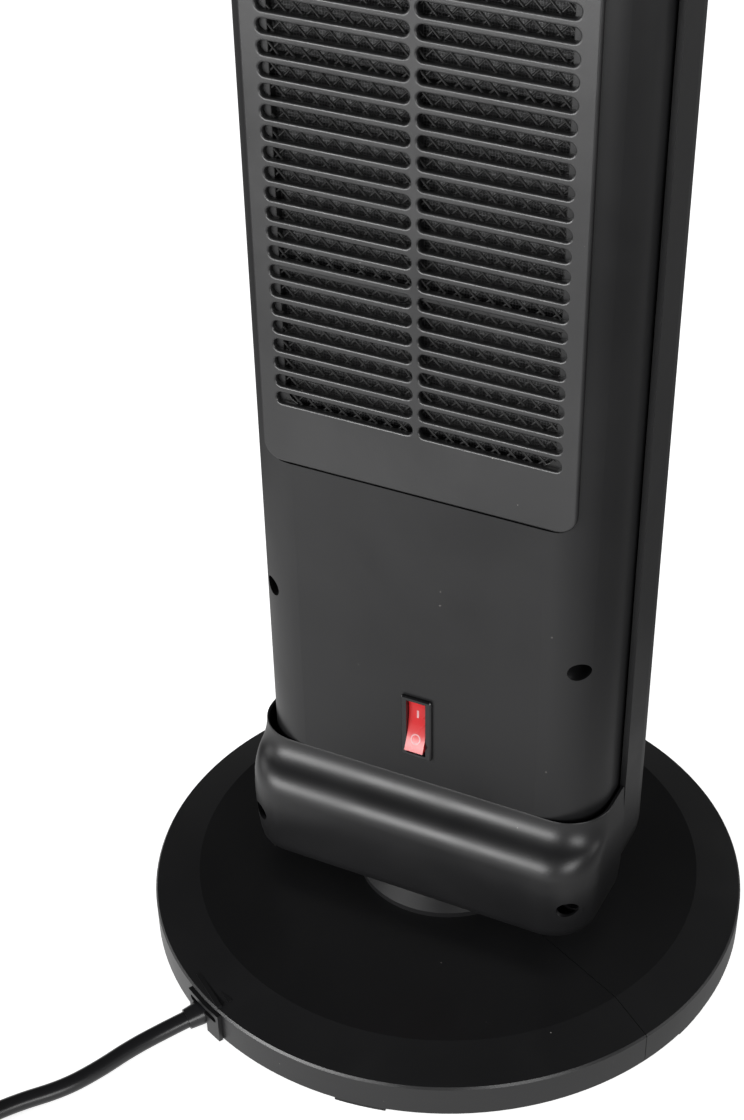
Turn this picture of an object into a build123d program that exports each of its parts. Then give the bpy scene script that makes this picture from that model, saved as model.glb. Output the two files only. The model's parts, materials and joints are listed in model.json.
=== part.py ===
from build123d import *
from math import atan2, cos, degrees, radians, sin, sqrt, tan
import os

os.makedirs("parts", exist_ok=True)

# Oscillating electric tower fan heater on a round two-piece base, seen from its rear in the photo.
# Frame: +Z up, the floor is z = 0, the tower turns about the Z axis.
# +Y is the tower's rear, the air intake side, and -Y is its warm-air front.

# Overall sizes
tower_top = 735.0
tower_bottom = 37.7
photo_swing = 26.0
foot_height = 1.5

# Base
base_radius = 132.5
rim_height = 16.1
slope_width = 20.2
disc_rise = 6.9
base_wall = 2.6
rim_chamfer = 0.8
split_gap = 0.3
rib_thickness = 2.0
rib_lift = 4.0
rib_turns = (-130.0, -65.0, -15.0, 15.0, 65.0, 130.0, 180.0)
neck_hole_radius = 24.2
foot_width = 22.0
foot_length = 18.5
foot_margin = 0.8
foot_angles_rear = (-35.0, 35.0)
foot_angles_front = (-165.0, -105.0, 105.0, 165.0)
joint_screw_circle = 32.0
joint_screw_head = 3.8
joint_screw_head_height = 2.2
joint_plate_radius = 44.0
joint_plate_thickness = 2.0
plate_margin = 1.0
plate_hole_play = 3.0

# Neck and bearing
neck_foot_radius = 40.3
neck_top_radius = 34.0
neck_foot_wall = 2.5
waist_drop = 2.0
neck_fit = 0.2
stem_radius = 20.0
stem_rise = 7.8
spigot_radius = 17.0
cable_bore_radius = 9.0
washer_thickness = 0.95
washer_play = 0.3
running_gap = 0.05
gear_lift = 0.2

# Tower floor plate
floor_plate_width = 118.0
floor_plate_depth = 58.0
floor_plate_y = 5.0
floor_plate_corner = 14.0
floor_hub_inset = 6.0

# Swing gears
gear_module = 1.25
gear_teeth = 40
pinion_teeth = 14
pressure_angle = 20.0
tooth_addendum = 0.8
tooth_dedendum = 1.05
flank_relief = 0.12
centre_relief = 0.1
gear_thickness = 6.0
retainer_lap = 2.6
retainer_thickness = 1.5
retainer_screw_head = 2.6
pinion_lift = 0.6
pinion_gap = 1.6
swing_motor_radius = 24.0
swing_motor_height = 20.0
swing_motor_chamfer = 1.5
swing_ear_margin = 4.0
swing_ear_width = 8.0
swing_ear_thickness = 1.0
swing_bracket_thickness = 2.0
swing_bracket_width = 14.0
swing_bracket_hole_play = 2.5
swing_shaft_radius = 3.5
swing_shaft_grip = 8.0

# Front shell
front_half_width = 81.0
front_corner_radius = 24.0
front_corner_y = -40.7
front_bow = 8.0
front_bottom_radius = 20.0
front_inner_chamfer = 12.0
seam_gap = 0.3
shell_joint_y = -2.5
shell_wall = 2.5
neck_clearance = 2.0

# Rear shell
rear_half_width = 77.7
rear_y = 30.6
rear_corner_radius = 24.4
shell_lap = 3.5
rear_shell_bottom = 60.0
shell_top = 700.0

# Rear cowl: height, half width, rear depth and corner radius of each level
cowl_lip_z = 93.8
cowl_wall = 2.0
cowl_fit = 0.15
cowl_levels = (
    (tower_bottom, 80.6, 40.6, 17.0),
    (48.0, 81.4, 42.6, 19.5),
    (60.0, 81.7, 43.9, 20.8),
    (67.0, 81.6, 42.6, 20.6),
    (73.0, 81.2, 39.2, 20.8),
    (80.0, 80.8, 37.0, 22.4),
    (87.0, 80.6, 35.0, 23.8),
    (cowl_lip_z, 80.4, 31.8, 23.6),
)

# Rear grille and dust filter
grille_half_width = 65.2
grille_bottom = 235.6
grille_corner_radius = 8.0
slot_rows = 36
slot_pitch = 7.5
slot_height = 4.7
slot_length = 56.9
slot_rib = 2.8
first_slot_z = 264.0
panel_gap = 0.3
panel_thickness = 2.4
ledge_width = 4.2
ledge_thickness = 2.4
filter_depth = 4.4
filter_border = 5.0
filter_net = 0.6
net_columns = 4
net_rows = 8
net_strand = 1.6
filter_rib = 2.0

# Mains rocker switch
switch_z = 122.5
bezel_width = 13.7
bezel_height = 31.0
bezel_thickness = 1.6
bezel_chamfer = 0.5
switch_body_width = 11.2
switch_body_height = 28.2
switch_depth = 20.0
rocker_half_width = 4.15
rocker_half_height = 12.0
rocker_tilt = 11.0
rocker_pivot_depth = 6.2
rocker_rise = 6.7
rocker_dish = 2.1
rocker_end = 2.6
rocker_draft = 0.4
rocker_root = 1.5
rocker_root_half_height = 3.4
rocker_gap = 0.2
rocker_swing_room = 1.8
rocker_pin_radius = 1.2
rocker_pin_length = 9.8
switch_tab_pitch = 8.0
switch_tab_length = 8.0
tab_width = 4.8
tab_thickness = 0.8

# Screws
shell_screw_x = 67.8
shell_screw_heights = (170.2, 600.0)
cowl_screw_x = 73.2
cowl_screw_z = 54.8
screw_recess_radius = 4.0
screw_head_radius = 3.3
screw_head_height = 2.4
cross_length = 4.3
cross_width = 0.8
screw_seat_y = 8.0
boss_width = 8.2
boss_web = 3.2
boss_length = 12.0
sleeve_wall = 1.6
floor_boss_height = 6.0
floor_screw_places = ((-55.0, 5.0), (-30.0, 30.0), (-30.0, -17.0))

# Fan, duct and heating element
fan_y = -1.0
fan_radius = 20.0
fan_blades = 16
fan_blade_lap = 0.6
fan_bottom = 217.0
fan_height = 326.0
fan_disc = 1.6
fan_pin_radius = 2.5
fan_pin_length = 8.0
fan_shaft_radius = 3.0
fan_hub_wall = 3.0
fan_hub_height = 8.0
fan_blade_depth = 8.0
fan_blade_bow = 1.6
fan_blade_thickness = 0.9
bearing_radius = 6.0
duct_plate = 2.0
duct_wall = 1.8
duct_half_width = 62.0
duct_rib_x = 56.0
duct_rib_depth = 22.0
duct_rib_lap = 4.0
duct_rear_y = 18.0
duct_front_y = -26.0
duct_clearance = 2.5
shaft_hole_play = 4.0
scroll_start_x = -18.0
scroll_middle = (-31.0, 6.0)
scroll_end = (-42.0, -12.0)
tongue_start_y = 4.0
tongue_middle = (25.5, -9.0)
motor_radius = 26.0
motor_height = 46.0
motor_gap = 9.0
motor_chamfer = 3.0
motor_post_width = 5.0
motor_vents = 8
heater_half_width = 46.0
heater_front_y = -36.0
heater_depth = 10.0
heater_border = 4.0
heater_margin = 2.0
cutout_inset = 12.0
cutout_width = 14.0
cutout_height = 5.0
cutout_tab_pitch = 8.0
cutout_tab_length = 6.0
fin_columns = 4
fin_width = 15.2
fin_pitch = 18.0
fin_thickness = 0.5

# Warm-air outlet
outlet_half_width = 52.0
outlet_bottom = 220.0
outlet_height = 320.0
grille_gap = 0.15
louvre_pitch = 12.5
louvre_thickness = 2.2
louvre_depth = 5.0
grille_recess = 0.5
grille_flange = 2.0
grille_border = 4.0

# Carry handle
handle_z = 632.0
handle_half_width = 51.0
handle_height = 34.0
handle_depth = 20.0
handle_hook = 13.0
handle_corner_radius = 9.0
handle_wall = 2.0

# Top cover, panel and buttons
cover_overhang = 0.8
cover_seam = 0.3
cover_edge_chamfer = 3.0
panel_y = -8.0
panel_length = 108.0
panel_width = 26.0
panel_recess = 1.4
panel_flange = 1.5
panel_corner_radius = 4.0
panel_lap = 3.0
board_post = 4.0
board_margin = 2.0
board_z = 722.0
board_thickness = 1.6
key_width = 6.0
key_height = 3.0
key_gap = 0.1
plug_socket_x = 30.0
plug_socket_length = 14.0
plug_socket_width = 8.0
plug_socket_height = 5.0
button_radius = 6.3
button_gap = 0.2
button_travel = 1.2
button_proud = 1.4
button_chamfer = 0.6
button_foot_lap = 0.8
button_foot_thickness = 1.2
button_positions = (-42.0, -25.0, 25.0, 42.0)
display_length = 30.0
display_width = 14.0
lens_lip = 2.0
lens_lip_thickness = 1.0
lens_recess = 0.2

# Power board
board_y = -34.0
board_centre_z = 117.0
board_width = 80.0
board_height = 66.0
board_blocks = ((-22.0, 16.0, 15.0, 19.0), (-22.0, -8.0, 15.0, 19.0), (6.0, 12.0, 18.0, 26.0))
board_block_depth = 12.0
board_post_length = 3.5
capacitor_x = 27.0
capacitor_heights = (-6.0, 14.0)
capacitor_radius = 6.0
capacitor_length = 10.0

# Tilt switch and mains terminals on the tower's floor
tilt_switch_place = (-44.0, -6.0)
tilt_switch_width = 12.0
tilt_switch_height = 16.0
tilt_switch_cap = 2.0
terminal_place = (-42.0, 19.0)
terminal_pitch = 10.0
terminal_depth = 10.0
terminal_height = 14.0
terminal_hole = 4.5

# Mains cord
cord_diameter = 7.5
cord_sides = 6
clip_width = 22.0
clip_thickness = 2.0
clip_slot_length = 19.0
clip_slot_height = 3.0
clip_slot_drop = 3.5
clip_gap = 0.4
clip_height = 15.0
relief_angle = 62.6
relief_reach = 2.0
relief_height = 7.5
relief_heading = 54.0
relief_dip = 8.0
relief_inside = 16.0
relief_outside = 6.0
relief_collar_radius = 7.0
relief_collar_width = 3.0
relief_rib_place = -8.0
relief_rib_width = 22.0
relief_rib_top = 11.0
relief_rib_height = 14.0
relief_radius = 5.2
relief_tip_radius = 4.6
cord_first_run = 12.0
cord_last_run = 15.0
cord_bend_share = 0.45
coil_centre = (104.0, 276.0)
coil_inner_radius = 30.5
coil_turns = 2.5
coil_spacing = 8.1
coil_start_angle = -40.0
coil_turn_step = 0.001
coil_floor = 0.9
tie_thickness = 0.6
tie_width = 9.0
plug_radius = 18.5
plug_depth = 26.0
plug_chamfer = 2.5
plug_sleeve_length = 28.0
plug_sleeve_wall = 1.0
plug_root_radius = 7.0
plug_pin_radius = 2.4
plug_pin_spacing = 19.0
plug_pin_length = 19.0

# Heights and radii worked out from the sizes above
rim_top = foot_height + rim_height
disc_radius = base_radius - slope_width
foot_inner_radius = base_radius - foot_length
disc_top = rim_top + disc_rise
waist_z = tower_bottom - waist_drop
swing_floor = tower_bottom + shell_wall
stem_shoulder = swing_floor + stem_rise
gear_bottom = stem_shoulder
gear_radius = gear_module * gear_teeth / 2
pinion_radius = gear_module * pinion_teeth / 2
gear_centres = gear_radius + pinion_radius + centre_relief
panel_top = first_slot_z + (slot_rows - 1) * slot_pitch + (first_slot_z - grille_bottom)
cord_radius = cord_diameter / 2
coil_mean_radius = coil_inner_radius + coil_turns * coil_spacing / 2
coil_middle_z = cord_radius + coil_floor + coil_spacing / 2
tie_span = coil_turns * coil_spacing + cord_diameter
tie_rise = 2 * (coil_middle_z - tie_thickness)
fan_top = fan_bottom + fan_height


def base_level(height):
    """A level plane whose Y axis points to the rear of the base, where the cord comes out."""
    turn = radians(-photo_swing)
    return Plane(origin=(0, 0, height), x_dir=(cos(turn), sin(turn), 0), z_dir=(0, 0, 1))


def upright(angle):
    """An upright plane through the Z axis: its X axis points outwards at this angle."""
    turn = radians(angle)
    return Plane(origin=(0, 0, 0), x_dir=(cos(turn), sin(turn), 0), z_dir=(sin(turn), -cos(turn), 0))


def save(builder, label):
    builder.part.label = label
    export_step(builder.part, f"parts/{label}.step")


base_rear_angle = 90.0 - photo_swing
relief_centre = Vector(
    (base_radius + relief_reach) * cos(radians(relief_angle)),
    (base_radius + relief_reach) * sin(radians(relief_angle)),
    relief_height,
)
relief_side = Vector(-sin(radians(relief_heading)), cos(radians(relief_heading)), 0)
relief_way = Vector(
    cos(radians(relief_heading)) * cos(radians(relief_dip)),
    sin(radians(relief_heading)) * cos(radians(relief_dip)),
    -sin(radians(relief_dip)),
)


def relief_plane(distance):
    """A plane across the strain relief's axis, with its Y axis up."""
    return Plane(origin=relief_centre + relief_way * distance, x_dir=relief_side, z_dir=relief_way)


def outlet_plane(radius):
    """A plane that faces out of the base's rear, with the object's Z as its Y axis."""
    turn = radians(base_rear_angle)
    out = Vector(cos(turn), sin(turn), 0)
    return Plane(origin=out * radius, x_dir=(-sin(turn), cos(turn), 0), z_dir=out)


# Base halves: each is an open moulded shell with ribs, foot pads and a wall along the split
def base_half(foot_angles, rear):
    with BuildPart() as half:
        with BuildSketch(Plane.XZ):
            with BuildLine():
                Polyline(
                    (neck_hole_radius, disc_top),
                    (disc_radius, disc_top),
                    (base_radius, rim_top),
                    (base_radius, foot_height),
                    (base_radius - base_wall, foot_height),
                    (base_radius - base_wall, rim_top - base_wall),
                    (disc_radius - base_wall / 2, disc_top - base_wall),
                    (neck_hole_radius, disc_top - base_wall),
                    close=True,
                )
            section = make_face()
            chamfer(section.vertices().group_by(Axis.X)[-1], rim_chamfer)
        revolve(axis=Axis.Z)
        split_angles = (base_rear_angle - 90, base_rear_angle + 90)
        rib_angles = [base_rear_angle + turn for turn in rib_turns]
        for angle in (*rib_angles, *split_angles):
            with BuildSketch(upright(angle)):
                with BuildLine():
                    Polyline(
                        (joint_plate_radius + plate_margin, disc_top - base_wall),
                        (disc_radius - base_wall / 2, disc_top - base_wall),
                        (base_radius - base_wall, rim_top - base_wall),
                        (base_radius - base_wall, foot_height + rib_lift),
                        (joint_plate_radius + plate_margin, foot_height + rib_lift),
                        close=True,
                    )
                make_face()
            extrude(amount=rib_thickness if angle in split_angles else rib_thickness / 2, both=True)
        for angle in foot_angles:
            with BuildSketch(upright(base_rear_angle + angle)):
                with BuildLine():
                    Polyline(
                        (foot_inner_radius, rim_top),
                        (base_radius - base_wall, rim_top - base_wall),
                        (base_radius - base_wall, foot_height),
                        (foot_inner_radius, foot_height),
                        close=True,
                    )
                make_face()
            extrude(amount=foot_width / 2 - plate_margin, both=True)
        if rear:
            # two ribs hold the strain relief's collar, and the rim is notched for the cord
            for distance in (relief_rib_place, relief_rib_place - relief_collar_width - rib_thickness):
                with BuildSketch(relief_plane(distance)):
                    with Locations((0, relief_rib_top)):
                        Rectangle(relief_rib_width, relief_rib_height, align=(Align.CENTER, Align.MAX))
                extrude(amount=rib_thickness)
            with BuildSketch(relief_plane(0)):
                Circle(relief_radius + running_gap)
                Rectangle(2 * (relief_radius + running_gap), rim_top, align=(Align.CENTER, Align.MAX))
            extrude(amount=-2 * relief_inside, mode=Mode.SUBTRACT)
        out = outlet_plane(0).z_dir
        shift = split_gap / 2 if rear else -split_gap / 2
        split(bisect_by=Plane(origin=out * shift, z_dir=out), keep=Keep.TOP if rear else Keep.BOTTOM)
    return half


base_rear_half = base_half(foot_angles_rear, True)
save(base_rear_half, "base_rear_half")

base_front_half = base_half(foot_angles_front, False)
save(base_front_half, "base_front_half")


# Rubber feet: pads shaped to the rim, under it
with BuildPart() as base_feet:
    for angle in (*foot_angles_rear, *foot_angles_front):
        with BuildSketch(Plane.XY):
            Circle(base_radius - foot_margin)
            Circle(foot_inner_radius, mode=Mode.SUBTRACT)
            with Locations(Location((0, 0, 0), (0, 0, base_rear_angle + angle))):
                Rectangle(2 * base_radius, foot_width, align=(Align.MIN, Align.CENTER), mode=Mode.INTERSECT)
        extrude(amount=foot_height)
save(base_feet, "base_feet")


# Clamping plate under the base's centre: it joins both halves to the neck
with BuildPart() as base_joint_plate:
    with BuildSketch(Plane.XY.offset(disc_top - base_wall)):
        Circle(joint_plate_radius)
        Circle(cable_bore_radius + plate_hole_play, mode=Mode.SUBTRACT)
    extrude(amount=-joint_plate_thickness)
save(base_joint_plate, "base_joint_plate")

with BuildPart() as base_joint_screws:
    with BuildSketch(base_level(disc_top - base_wall - joint_plate_thickness)):
        with PolarLocations(joint_screw_circle, 4, start_angle=45):
            RegularPolygon(joint_screw_head, 6)
    extrude(amount=-joint_screw_head_height)
save(base_joint_screws, "base_joint_screws")


# Neck: a waisted pedestal whose stem carries the tower and the fixed gear
with BuildPart() as neck_column:
    with BuildSketch(Plane.XZ):
        with BuildLine():
            foot_edge = Line((neck_foot_radius, disc_top), (neck_foot_radius, disc_top + neck_foot_wall))
            Polyline(
                foot_edge @ 1,
                (neck_top_radius, waist_z),
                (neck_top_radius, swing_floor - washer_thickness - running_gap),
                (stem_radius, swing_floor - washer_thickness - running_gap),
                (stem_radius, stem_shoulder),
                (spigot_radius, stem_shoulder),
                (spigot_radius, stem_shoulder + gear_thickness),
                (cable_bore_radius, stem_shoulder + gear_thickness),
                (cable_bore_radius, disc_top - base_wall),
                (neck_hole_radius - neck_fit, disc_top - base_wall),
                (neck_hole_radius - neck_fit, disc_top),
                foot_edge @ 0,
            )
        make_face()
    revolve(axis=Axis.Z)
save(neck_column, "neck_column")

with BuildPart() as thrust_washer:
    with BuildSketch(Plane.XY.offset(swing_floor - running_gap)):
        Circle(neck_top_radius - washer_play)
        Circle(stem_radius + washer_play, mode=Mode.SUBTRACT)
    extrude(amount=-washer_thickness)
save(thrust_washer, "thrust_washer")


# Swing gears: involute teeth, the fixed gear on the neck and the pinion on the motor
def involute(base, radius):
    """The angle that an involute has turned through at a radius, in degrees."""
    pressure = atan2(sqrt(max(radius**2 - base**2, 0)), base)
    return degrees(tan(pressure) - pressure)


def gear_sketch(teeth, phase):
    """A gear's outline: straight-sided teeth whose flanks end on the involute of the pitch circle."""
    pitch_radius = gear_module * teeth / 2
    base = pitch_radius * cos(radians(pressure_angle))
    tip = pitch_radius + tooth_addendum * gear_module
    root = pitch_radius - tooth_dedendum * gear_module
    start = max(root, base)
    half_pitch = 90.0 / teeth - degrees(flank_relief / pitch_radius) + involute(base, pitch_radius)
    corners = [(start, -1), (tip, -1), (tip, 1), (start, 1)]
    if root < start:
        corners = [(root, -1), *corners, (root, 1)]
    outline = []
    for tooth in range(teeth):
        for radius, side in corners:
            turn = phase + 360.0 * tooth / teeth + side * (half_pitch - involute(base, radius))
            outline.append((radius * cos(radians(turn)), radius * sin(radians(turn))))
    with BuildSketch(mode=Mode.PRIVATE) as gear:
        with BuildLine():
            Polyline(*outline, close=True)
        make_face()
    return gear.sketch


with BuildPart() as fixed_gear:
    with BuildSketch(Plane.XY.offset(gear_bottom)):
        add(gear_sketch(gear_teeth, 0))
        Circle(spigot_radius, mode=Mode.SUBTRACT)
    extrude(amount=gear_thickness)
save(fixed_gear, "fixed_gear")

with BuildPart() as gear_retainer:
    with BuildSketch(Plane.XY.offset(gear_bottom + gear_thickness)):
        Circle(spigot_radius + retainer_lap)
        Circle(cable_bore_radius, mode=Mode.SUBTRACT)
    extrude(amount=retainer_thickness)
    with BuildSketch(Plane.XY.offset(gear_bottom + gear_thickness + retainer_thickness)):
        with PolarLocations((spigot_radius + cable_bore_radius) / 2, 3):
            RegularPolygon(retainer_screw_head, 6)
    extrude(amount=retainer_thickness)
save(gear_retainer, "gear_retainer")

pinion_bottom = gear_bottom + pinion_lift
pinion_place = Plane(origin=(gear_centres, 0, pinion_bottom))
with BuildPart() as swing_pinion:
    with BuildSketch(pinion_place):
        add(gear_sketch(pinion_teeth, 180.0 / pinion_teeth))
        Circle(swing_shaft_radius, mode=Mode.SUBTRACT)
    extrude(amount=gear_thickness)
save(swing_pinion, "swing_pinion")

swing_bracket_z = pinion_bottom + gear_thickness + pinion_gap
swing_motor_z = swing_bracket_z + swing_bracket_thickness
with BuildPart() as swing_shaft:
    with BuildSketch(pinion_place):
        Circle(swing_shaft_radius)
    extrude(amount=swing_motor_z - pinion_bottom + swing_shaft_grip)
save(swing_shaft, "swing_shaft")

swing_ear_reach = swing_motor_radius + swing_ear_margin
with BuildPart() as swing_motor:
    with BuildSketch(Plane(origin=(gear_centres, 0, swing_motor_z))):
        Circle(swing_motor_radius)
    extrude(amount=swing_motor_height)
    chamfer(swing_motor.faces().sort_by(Axis.Z)[-1].edges(), swing_motor_chamfer)
    with BuildSketch(Plane(origin=(gear_centres, 0, swing_motor_z))):
        SlotCenterToCenter(2 * swing_ear_reach, swing_ear_width, rotation=90)
    extrude(amount=swing_ear_thickness)
    with BuildSketch(Plane(origin=(gear_centres, 0, swing_motor_z))):
        Circle(swing_shaft_radius + running_gap)
    extrude(amount=swing_shaft_grip + running_gap, mode=Mode.SUBTRACT)
save(swing_motor, "swing_motor")

with BuildPart() as swing_bracket:
    with BuildSketch(Plane(origin=(gear_centres, 0, swing_bracket_z))):
        SlotCenterToCenter(2 * swing_ear_reach, swing_bracket_width, rotation=90)
        Circle(swing_shaft_radius + swing_bracket_hole_play, mode=Mode.SUBTRACT)
    extrude(amount=swing_bracket_thickness)
    with BuildSketch(Plane(origin=(gear_centres, 0, swing_floor + shell_wall))):
        with Locations((0, -swing_ear_reach), (0, swing_ear_reach)):
            Rectangle(swing_ear_width, swing_ear_width)
    extrude(amount=swing_bracket_z - swing_floor - shell_wall)
save(swing_bracket, "swing_bracket")


# Floor plate of the tower: it turns on the neck's stem
with BuildPart() as tower_floor:
    with BuildSketch(Plane.XY.offset(swing_floor)):
        with Locations((0, floor_plate_y)):
            RectangleRounded(floor_plate_width, floor_plate_depth, floor_plate_corner)
        Circle(stem_radius + running_gap, mode=Mode.SUBTRACT)
    extrude(amount=shell_wall)
    with BuildSketch(Plane.XY.offset(swing_floor)):
        Circle(neck_top_radius - floor_hub_inset)
        Circle(stem_radius + running_gap, mode=Mode.SUBTRACT)
    extrude(amount=stem_shoulder - gear_lift - swing_floor)
    with BuildSketch(Plane.XY.offset(swing_floor + shell_wall)):
        with Locations(*floor_screw_places):
            Rectangle(2 * screw_head_radius, 2 * screw_head_radius)
    extrude(amount=floor_boss_height)
save(tower_floor, "tower_floor")


# Front shell: bowed front, rounded corners and a rounded lower end
def front_outline(inset, rear=shell_joint_y):
    """The front shell's plan outline, drawn in by a wall thickness."""
    half = front_half_width - inset
    with BuildSketch(mode=Mode.PRIVATE) as outline:
        with BuildLine():
            bow = ThreePointArc(
                (-half, front_corner_y + inset),
                (0, front_corner_y - front_bow + inset),
                (half, front_corner_y + inset),
            )
            Polyline(bow @ 1, (half, rear), (-half, rear), bow @ 0)
        face = make_face()
        fillet(face.vertices().sort_by(Axis.Y)[:2], front_corner_radius - inset)
    return outline.sketch


def front_form(inset, bottom, top, rear=shell_joint_y):
    """A solid of the front shell's form: its lower end is rounded outside and chamfered inside."""
    with BuildPart(mode=Mode.PRIVATE) as form:
        with BuildSketch(Plane.XY.offset(bottom)):
            add(front_outline(inset, rear))
        extrude(amount=top - bottom)
        lower = form.faces().sort_by(Axis.Z)[0].edges().sort_by(Axis.Y)[:-1]
        if inset:
            chamfer(lower, front_inner_chamfer)
        else:
            fillet(lower, front_bottom_radius)
    return form.part


shell_screws = [(side * shell_screw_x, z) for side in (-1, 1) for z in shell_screw_heights]
cowl_screws = [(side * cowl_screw_x, cowl_screw_z) for side in (-1, 1)]

front_outer = front_form(0, tower_bottom, shell_top)
front_inner = front_form(shell_wall, swing_floor, shell_top + 1, shell_joint_y + 1)
with BuildPart() as front_shell:
    add(front_outer)
    add(front_inner, mode=Mode.SUBTRACT)
    with Locations((0, 0, tower_bottom)):
        Cylinder(neck_top_radius + neck_clearance, 3 * shell_wall, mode=Mode.SUBTRACT)
    # window for the warm-air grille
    with BuildSketch(Plane.XZ.offset(-front_corner_y)):
        with Locations((0, outlet_bottom + outlet_height / 2)):
            Rectangle(2 * outlet_half_width, outlet_height)
    extrude(amount=2 * front_bow, both=True, mode=Mode.SUBTRACT)
    # bosses that the rear screws bite into, each with a web to the side wall
    for x, z in (*shell_screws, *cowl_screws):
        side = 1 if x > 0 else -1
        with BuildSketch(Plane.XZ.offset(-shell_joint_y)):
            with Locations((x, z)):
                Rectangle(boss_width, boss_width)
        extrude(amount=boss_length)
        web = front_half_width - shell_wall / 2 - abs(x)
        with BuildSketch(Plane.XZ.offset(shell_lap - shell_joint_y + seam_gap)):
            with Locations((x + side * web / 2, z)):
                Rectangle(web, boss_web)
        extrude(amount=boss_length - shell_lap - seam_gap)
    # ribs that carry the duct
    for side in (-1, 1):
        with BuildSketch(Plane.XY.offset(outlet_bottom - duct_rib_lap)):
            with Locations((side * duct_rib_x, duct_front_y)):
                Rectangle(duct_wall, duct_rib_depth, align=(Align.CENTER, Align.MAX))
            add(front_outline(shell_wall / 2), mode=Mode.INTERSECT)
        extrude(amount=outlet_height + 2 * duct_rib_lap)
save(front_shell, "front_shell")


# Rear shell: flat back with rounded corners, its sides lap inside the front shell
def rear_outline(inset, front):
    """The rear shell's plan outline, drawn in by a wall thickness."""
    half = rear_half_width - inset
    with BuildSketch(mode=Mode.PRIVATE) as outline:
        with BuildLine():
            Polyline(
                (-half, front), (half, front), (half, rear_y - inset), (-half, rear_y - inset), close=True
            )
        face = make_face()
        fillet(face.vertices().group_by(Axis.Y)[-1], rear_corner_radius - inset)
    return outline.sketch


def level_form(outline, bottom, top):
    with BuildPart(mode=Mode.PRIVATE) as form:
        with BuildSketch(Plane.XY.offset(bottom)):
            add(outline)
        extrude(amount=top - bottom)
    return form.part


grille_centre_z = (grille_bottom + panel_top) / 2
grille_height = panel_top - grille_bottom
ledge_y = rear_y - shell_wall - ledge_thickness
lap_front_y = shell_joint_y - shell_lap
rear_hollow = level_form(rear_outline(shell_wall, lap_front_y - 1), rear_shell_bottom - 1, shell_top + 1)
rear_solid = level_form(rear_outline(0, lap_front_y), rear_shell_bottom, shell_top)
with BuildPart() as rear_shell:
    add(rear_solid)
    add(rear_hollow, mode=Mode.SUBTRACT)
    with BuildSketch(Plane.XZ.offset(-ledge_y)):
        with Locations((0, grille_centre_z)):
            RectangleRounded(
                2 * (grille_half_width + ledge_width), grille_height + 2 * ledge_width, grille_corner_radius
            )
    extrude(amount=-ledge_thickness - shell_wall / 2)
    for x, z in shell_screws:
        with BuildSketch(Plane.XZ.offset(-shell_joint_y - seam_gap)):
            with Locations((x, z)):
                Rectangle(2 * (screw_recess_radius + sleeve_wall), 2 * (screw_recess_radius + sleeve_wall))
        extrude(amount=shell_joint_y - rear_y)
    add(rear_solid, mode=Mode.INTERSECT)
    for x, z in shell_screws:
        with BuildSketch(Plane.XZ.offset(-screw_seat_y)):
            with Locations((x, z)):
                Circle(screw_recess_radius)
        extrude(amount=-rear_y, mode=Mode.SUBTRACT)
    # seat and opening for the rear grille
    with BuildSketch(Plane.XZ.offset(-rear_y + shell_wall)):
        with Locations((0, grille_centre_z)):
            RectangleRounded(
                2 * (grille_half_width + panel_gap),
                grille_height + 2 * panel_gap,
                grille_corner_radius + panel_gap,
            )
    extrude(amount=-2 * shell_wall, mode=Mode.SUBTRACT)
    with BuildSketch(Plane.XZ.offset(-ledge_y)):
        with Locations((0, grille_centre_z)):
            Rectangle(2 * (grille_half_width - ledge_width), grille_height - 2 * ledge_width)
    extrude(amount=-2 * ledge_thickness, mode=Mode.SUBTRACT)
    # cut-outs for the mains switch and the carry handle
    with BuildSketch(Plane.XZ.offset(-rear_y)):
        with Locations((0, switch_z)):
            Rectangle(switch_body_width + panel_gap, switch_body_height + panel_gap)
        with Locations((0, handle_z)):
            RectangleRounded(2 * handle_half_width, handle_height, handle_corner_radius)
    extrude(amount=2 * shell_wall, mode=Mode.SUBTRACT, both=True)
save(rear_shell, "rear_shell")


# Rear cowl: a lofted skirt that covers the lower end and stands off the rear shell
def cowl_form(levels, inset):
    """A solid through some of the cowl's levels: smooth outside, straight between them where drawn in."""
    with BuildPart(mode=Mode.PRIVATE) as form:
        for z, half, rear, corner in levels:
            with BuildSketch(Plane.XY.offset(z)):
                with BuildLine():
                    Polyline(
                        (-half + inset, cowl_front_y - inset),
                        (half - inset, cowl_front_y - inset),
                        (half - inset, rear - inset),
                        (-half + inset, rear - inset),
                        close=True,
                    )
                face = make_face()
                fillet(face.vertices().group_by(Axis.Y)[-1], corner - inset)
        loft(ruled=inset > 0)
    return form.part


cowl_front_y = shell_joint_y + seam_gap
cowl_outer = cowl_form(cowl_levels, 0)
with BuildPart() as cowl_hollow:
    add(cowl_form((cowl_levels[0], cowl_levels[2], cowl_levels[-1]), cowl_wall))
    split(bisect_by=Plane.XY.offset(swing_floor), keep=Keep.TOP)
    for x, z in cowl_screws:
        with BuildSketch(Plane.XZ.offset(-cowl_front_y)):
            with Locations((x, z)):
                Rectangle(2 * (screw_recess_radius + sleeve_wall), 2 * (screw_recess_radius + sleeve_wall))
        extrude(amount=cowl_front_y - 2 * rear_y, mode=Mode.SUBTRACT)
shell_envelope = level_form(rear_outline(-cowl_fit, -shell_top), rear_shell_bottom - seam_gap, shell_top)
with BuildPart() as rear_cowl:
    add(cowl_outer)
    add(cowl_hollow.part, mode=Mode.SUBTRACT)
    add(shell_envelope, mode=Mode.SUBTRACT)
    with Locations((0, 0, tower_bottom)):
        Cylinder(neck_top_radius + neck_clearance, 3 * shell_wall, mode=Mode.SUBTRACT)
    for x, z in cowl_screws:
        with BuildSketch(Plane.XZ.offset(-screw_seat_y)):
            with Locations((x, z)):
                Circle(screw_recess_radius)
        extrude(amount=-2 * rear_y, mode=Mode.SUBTRACT)
save(rear_cowl, "rear_cowl")


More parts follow.
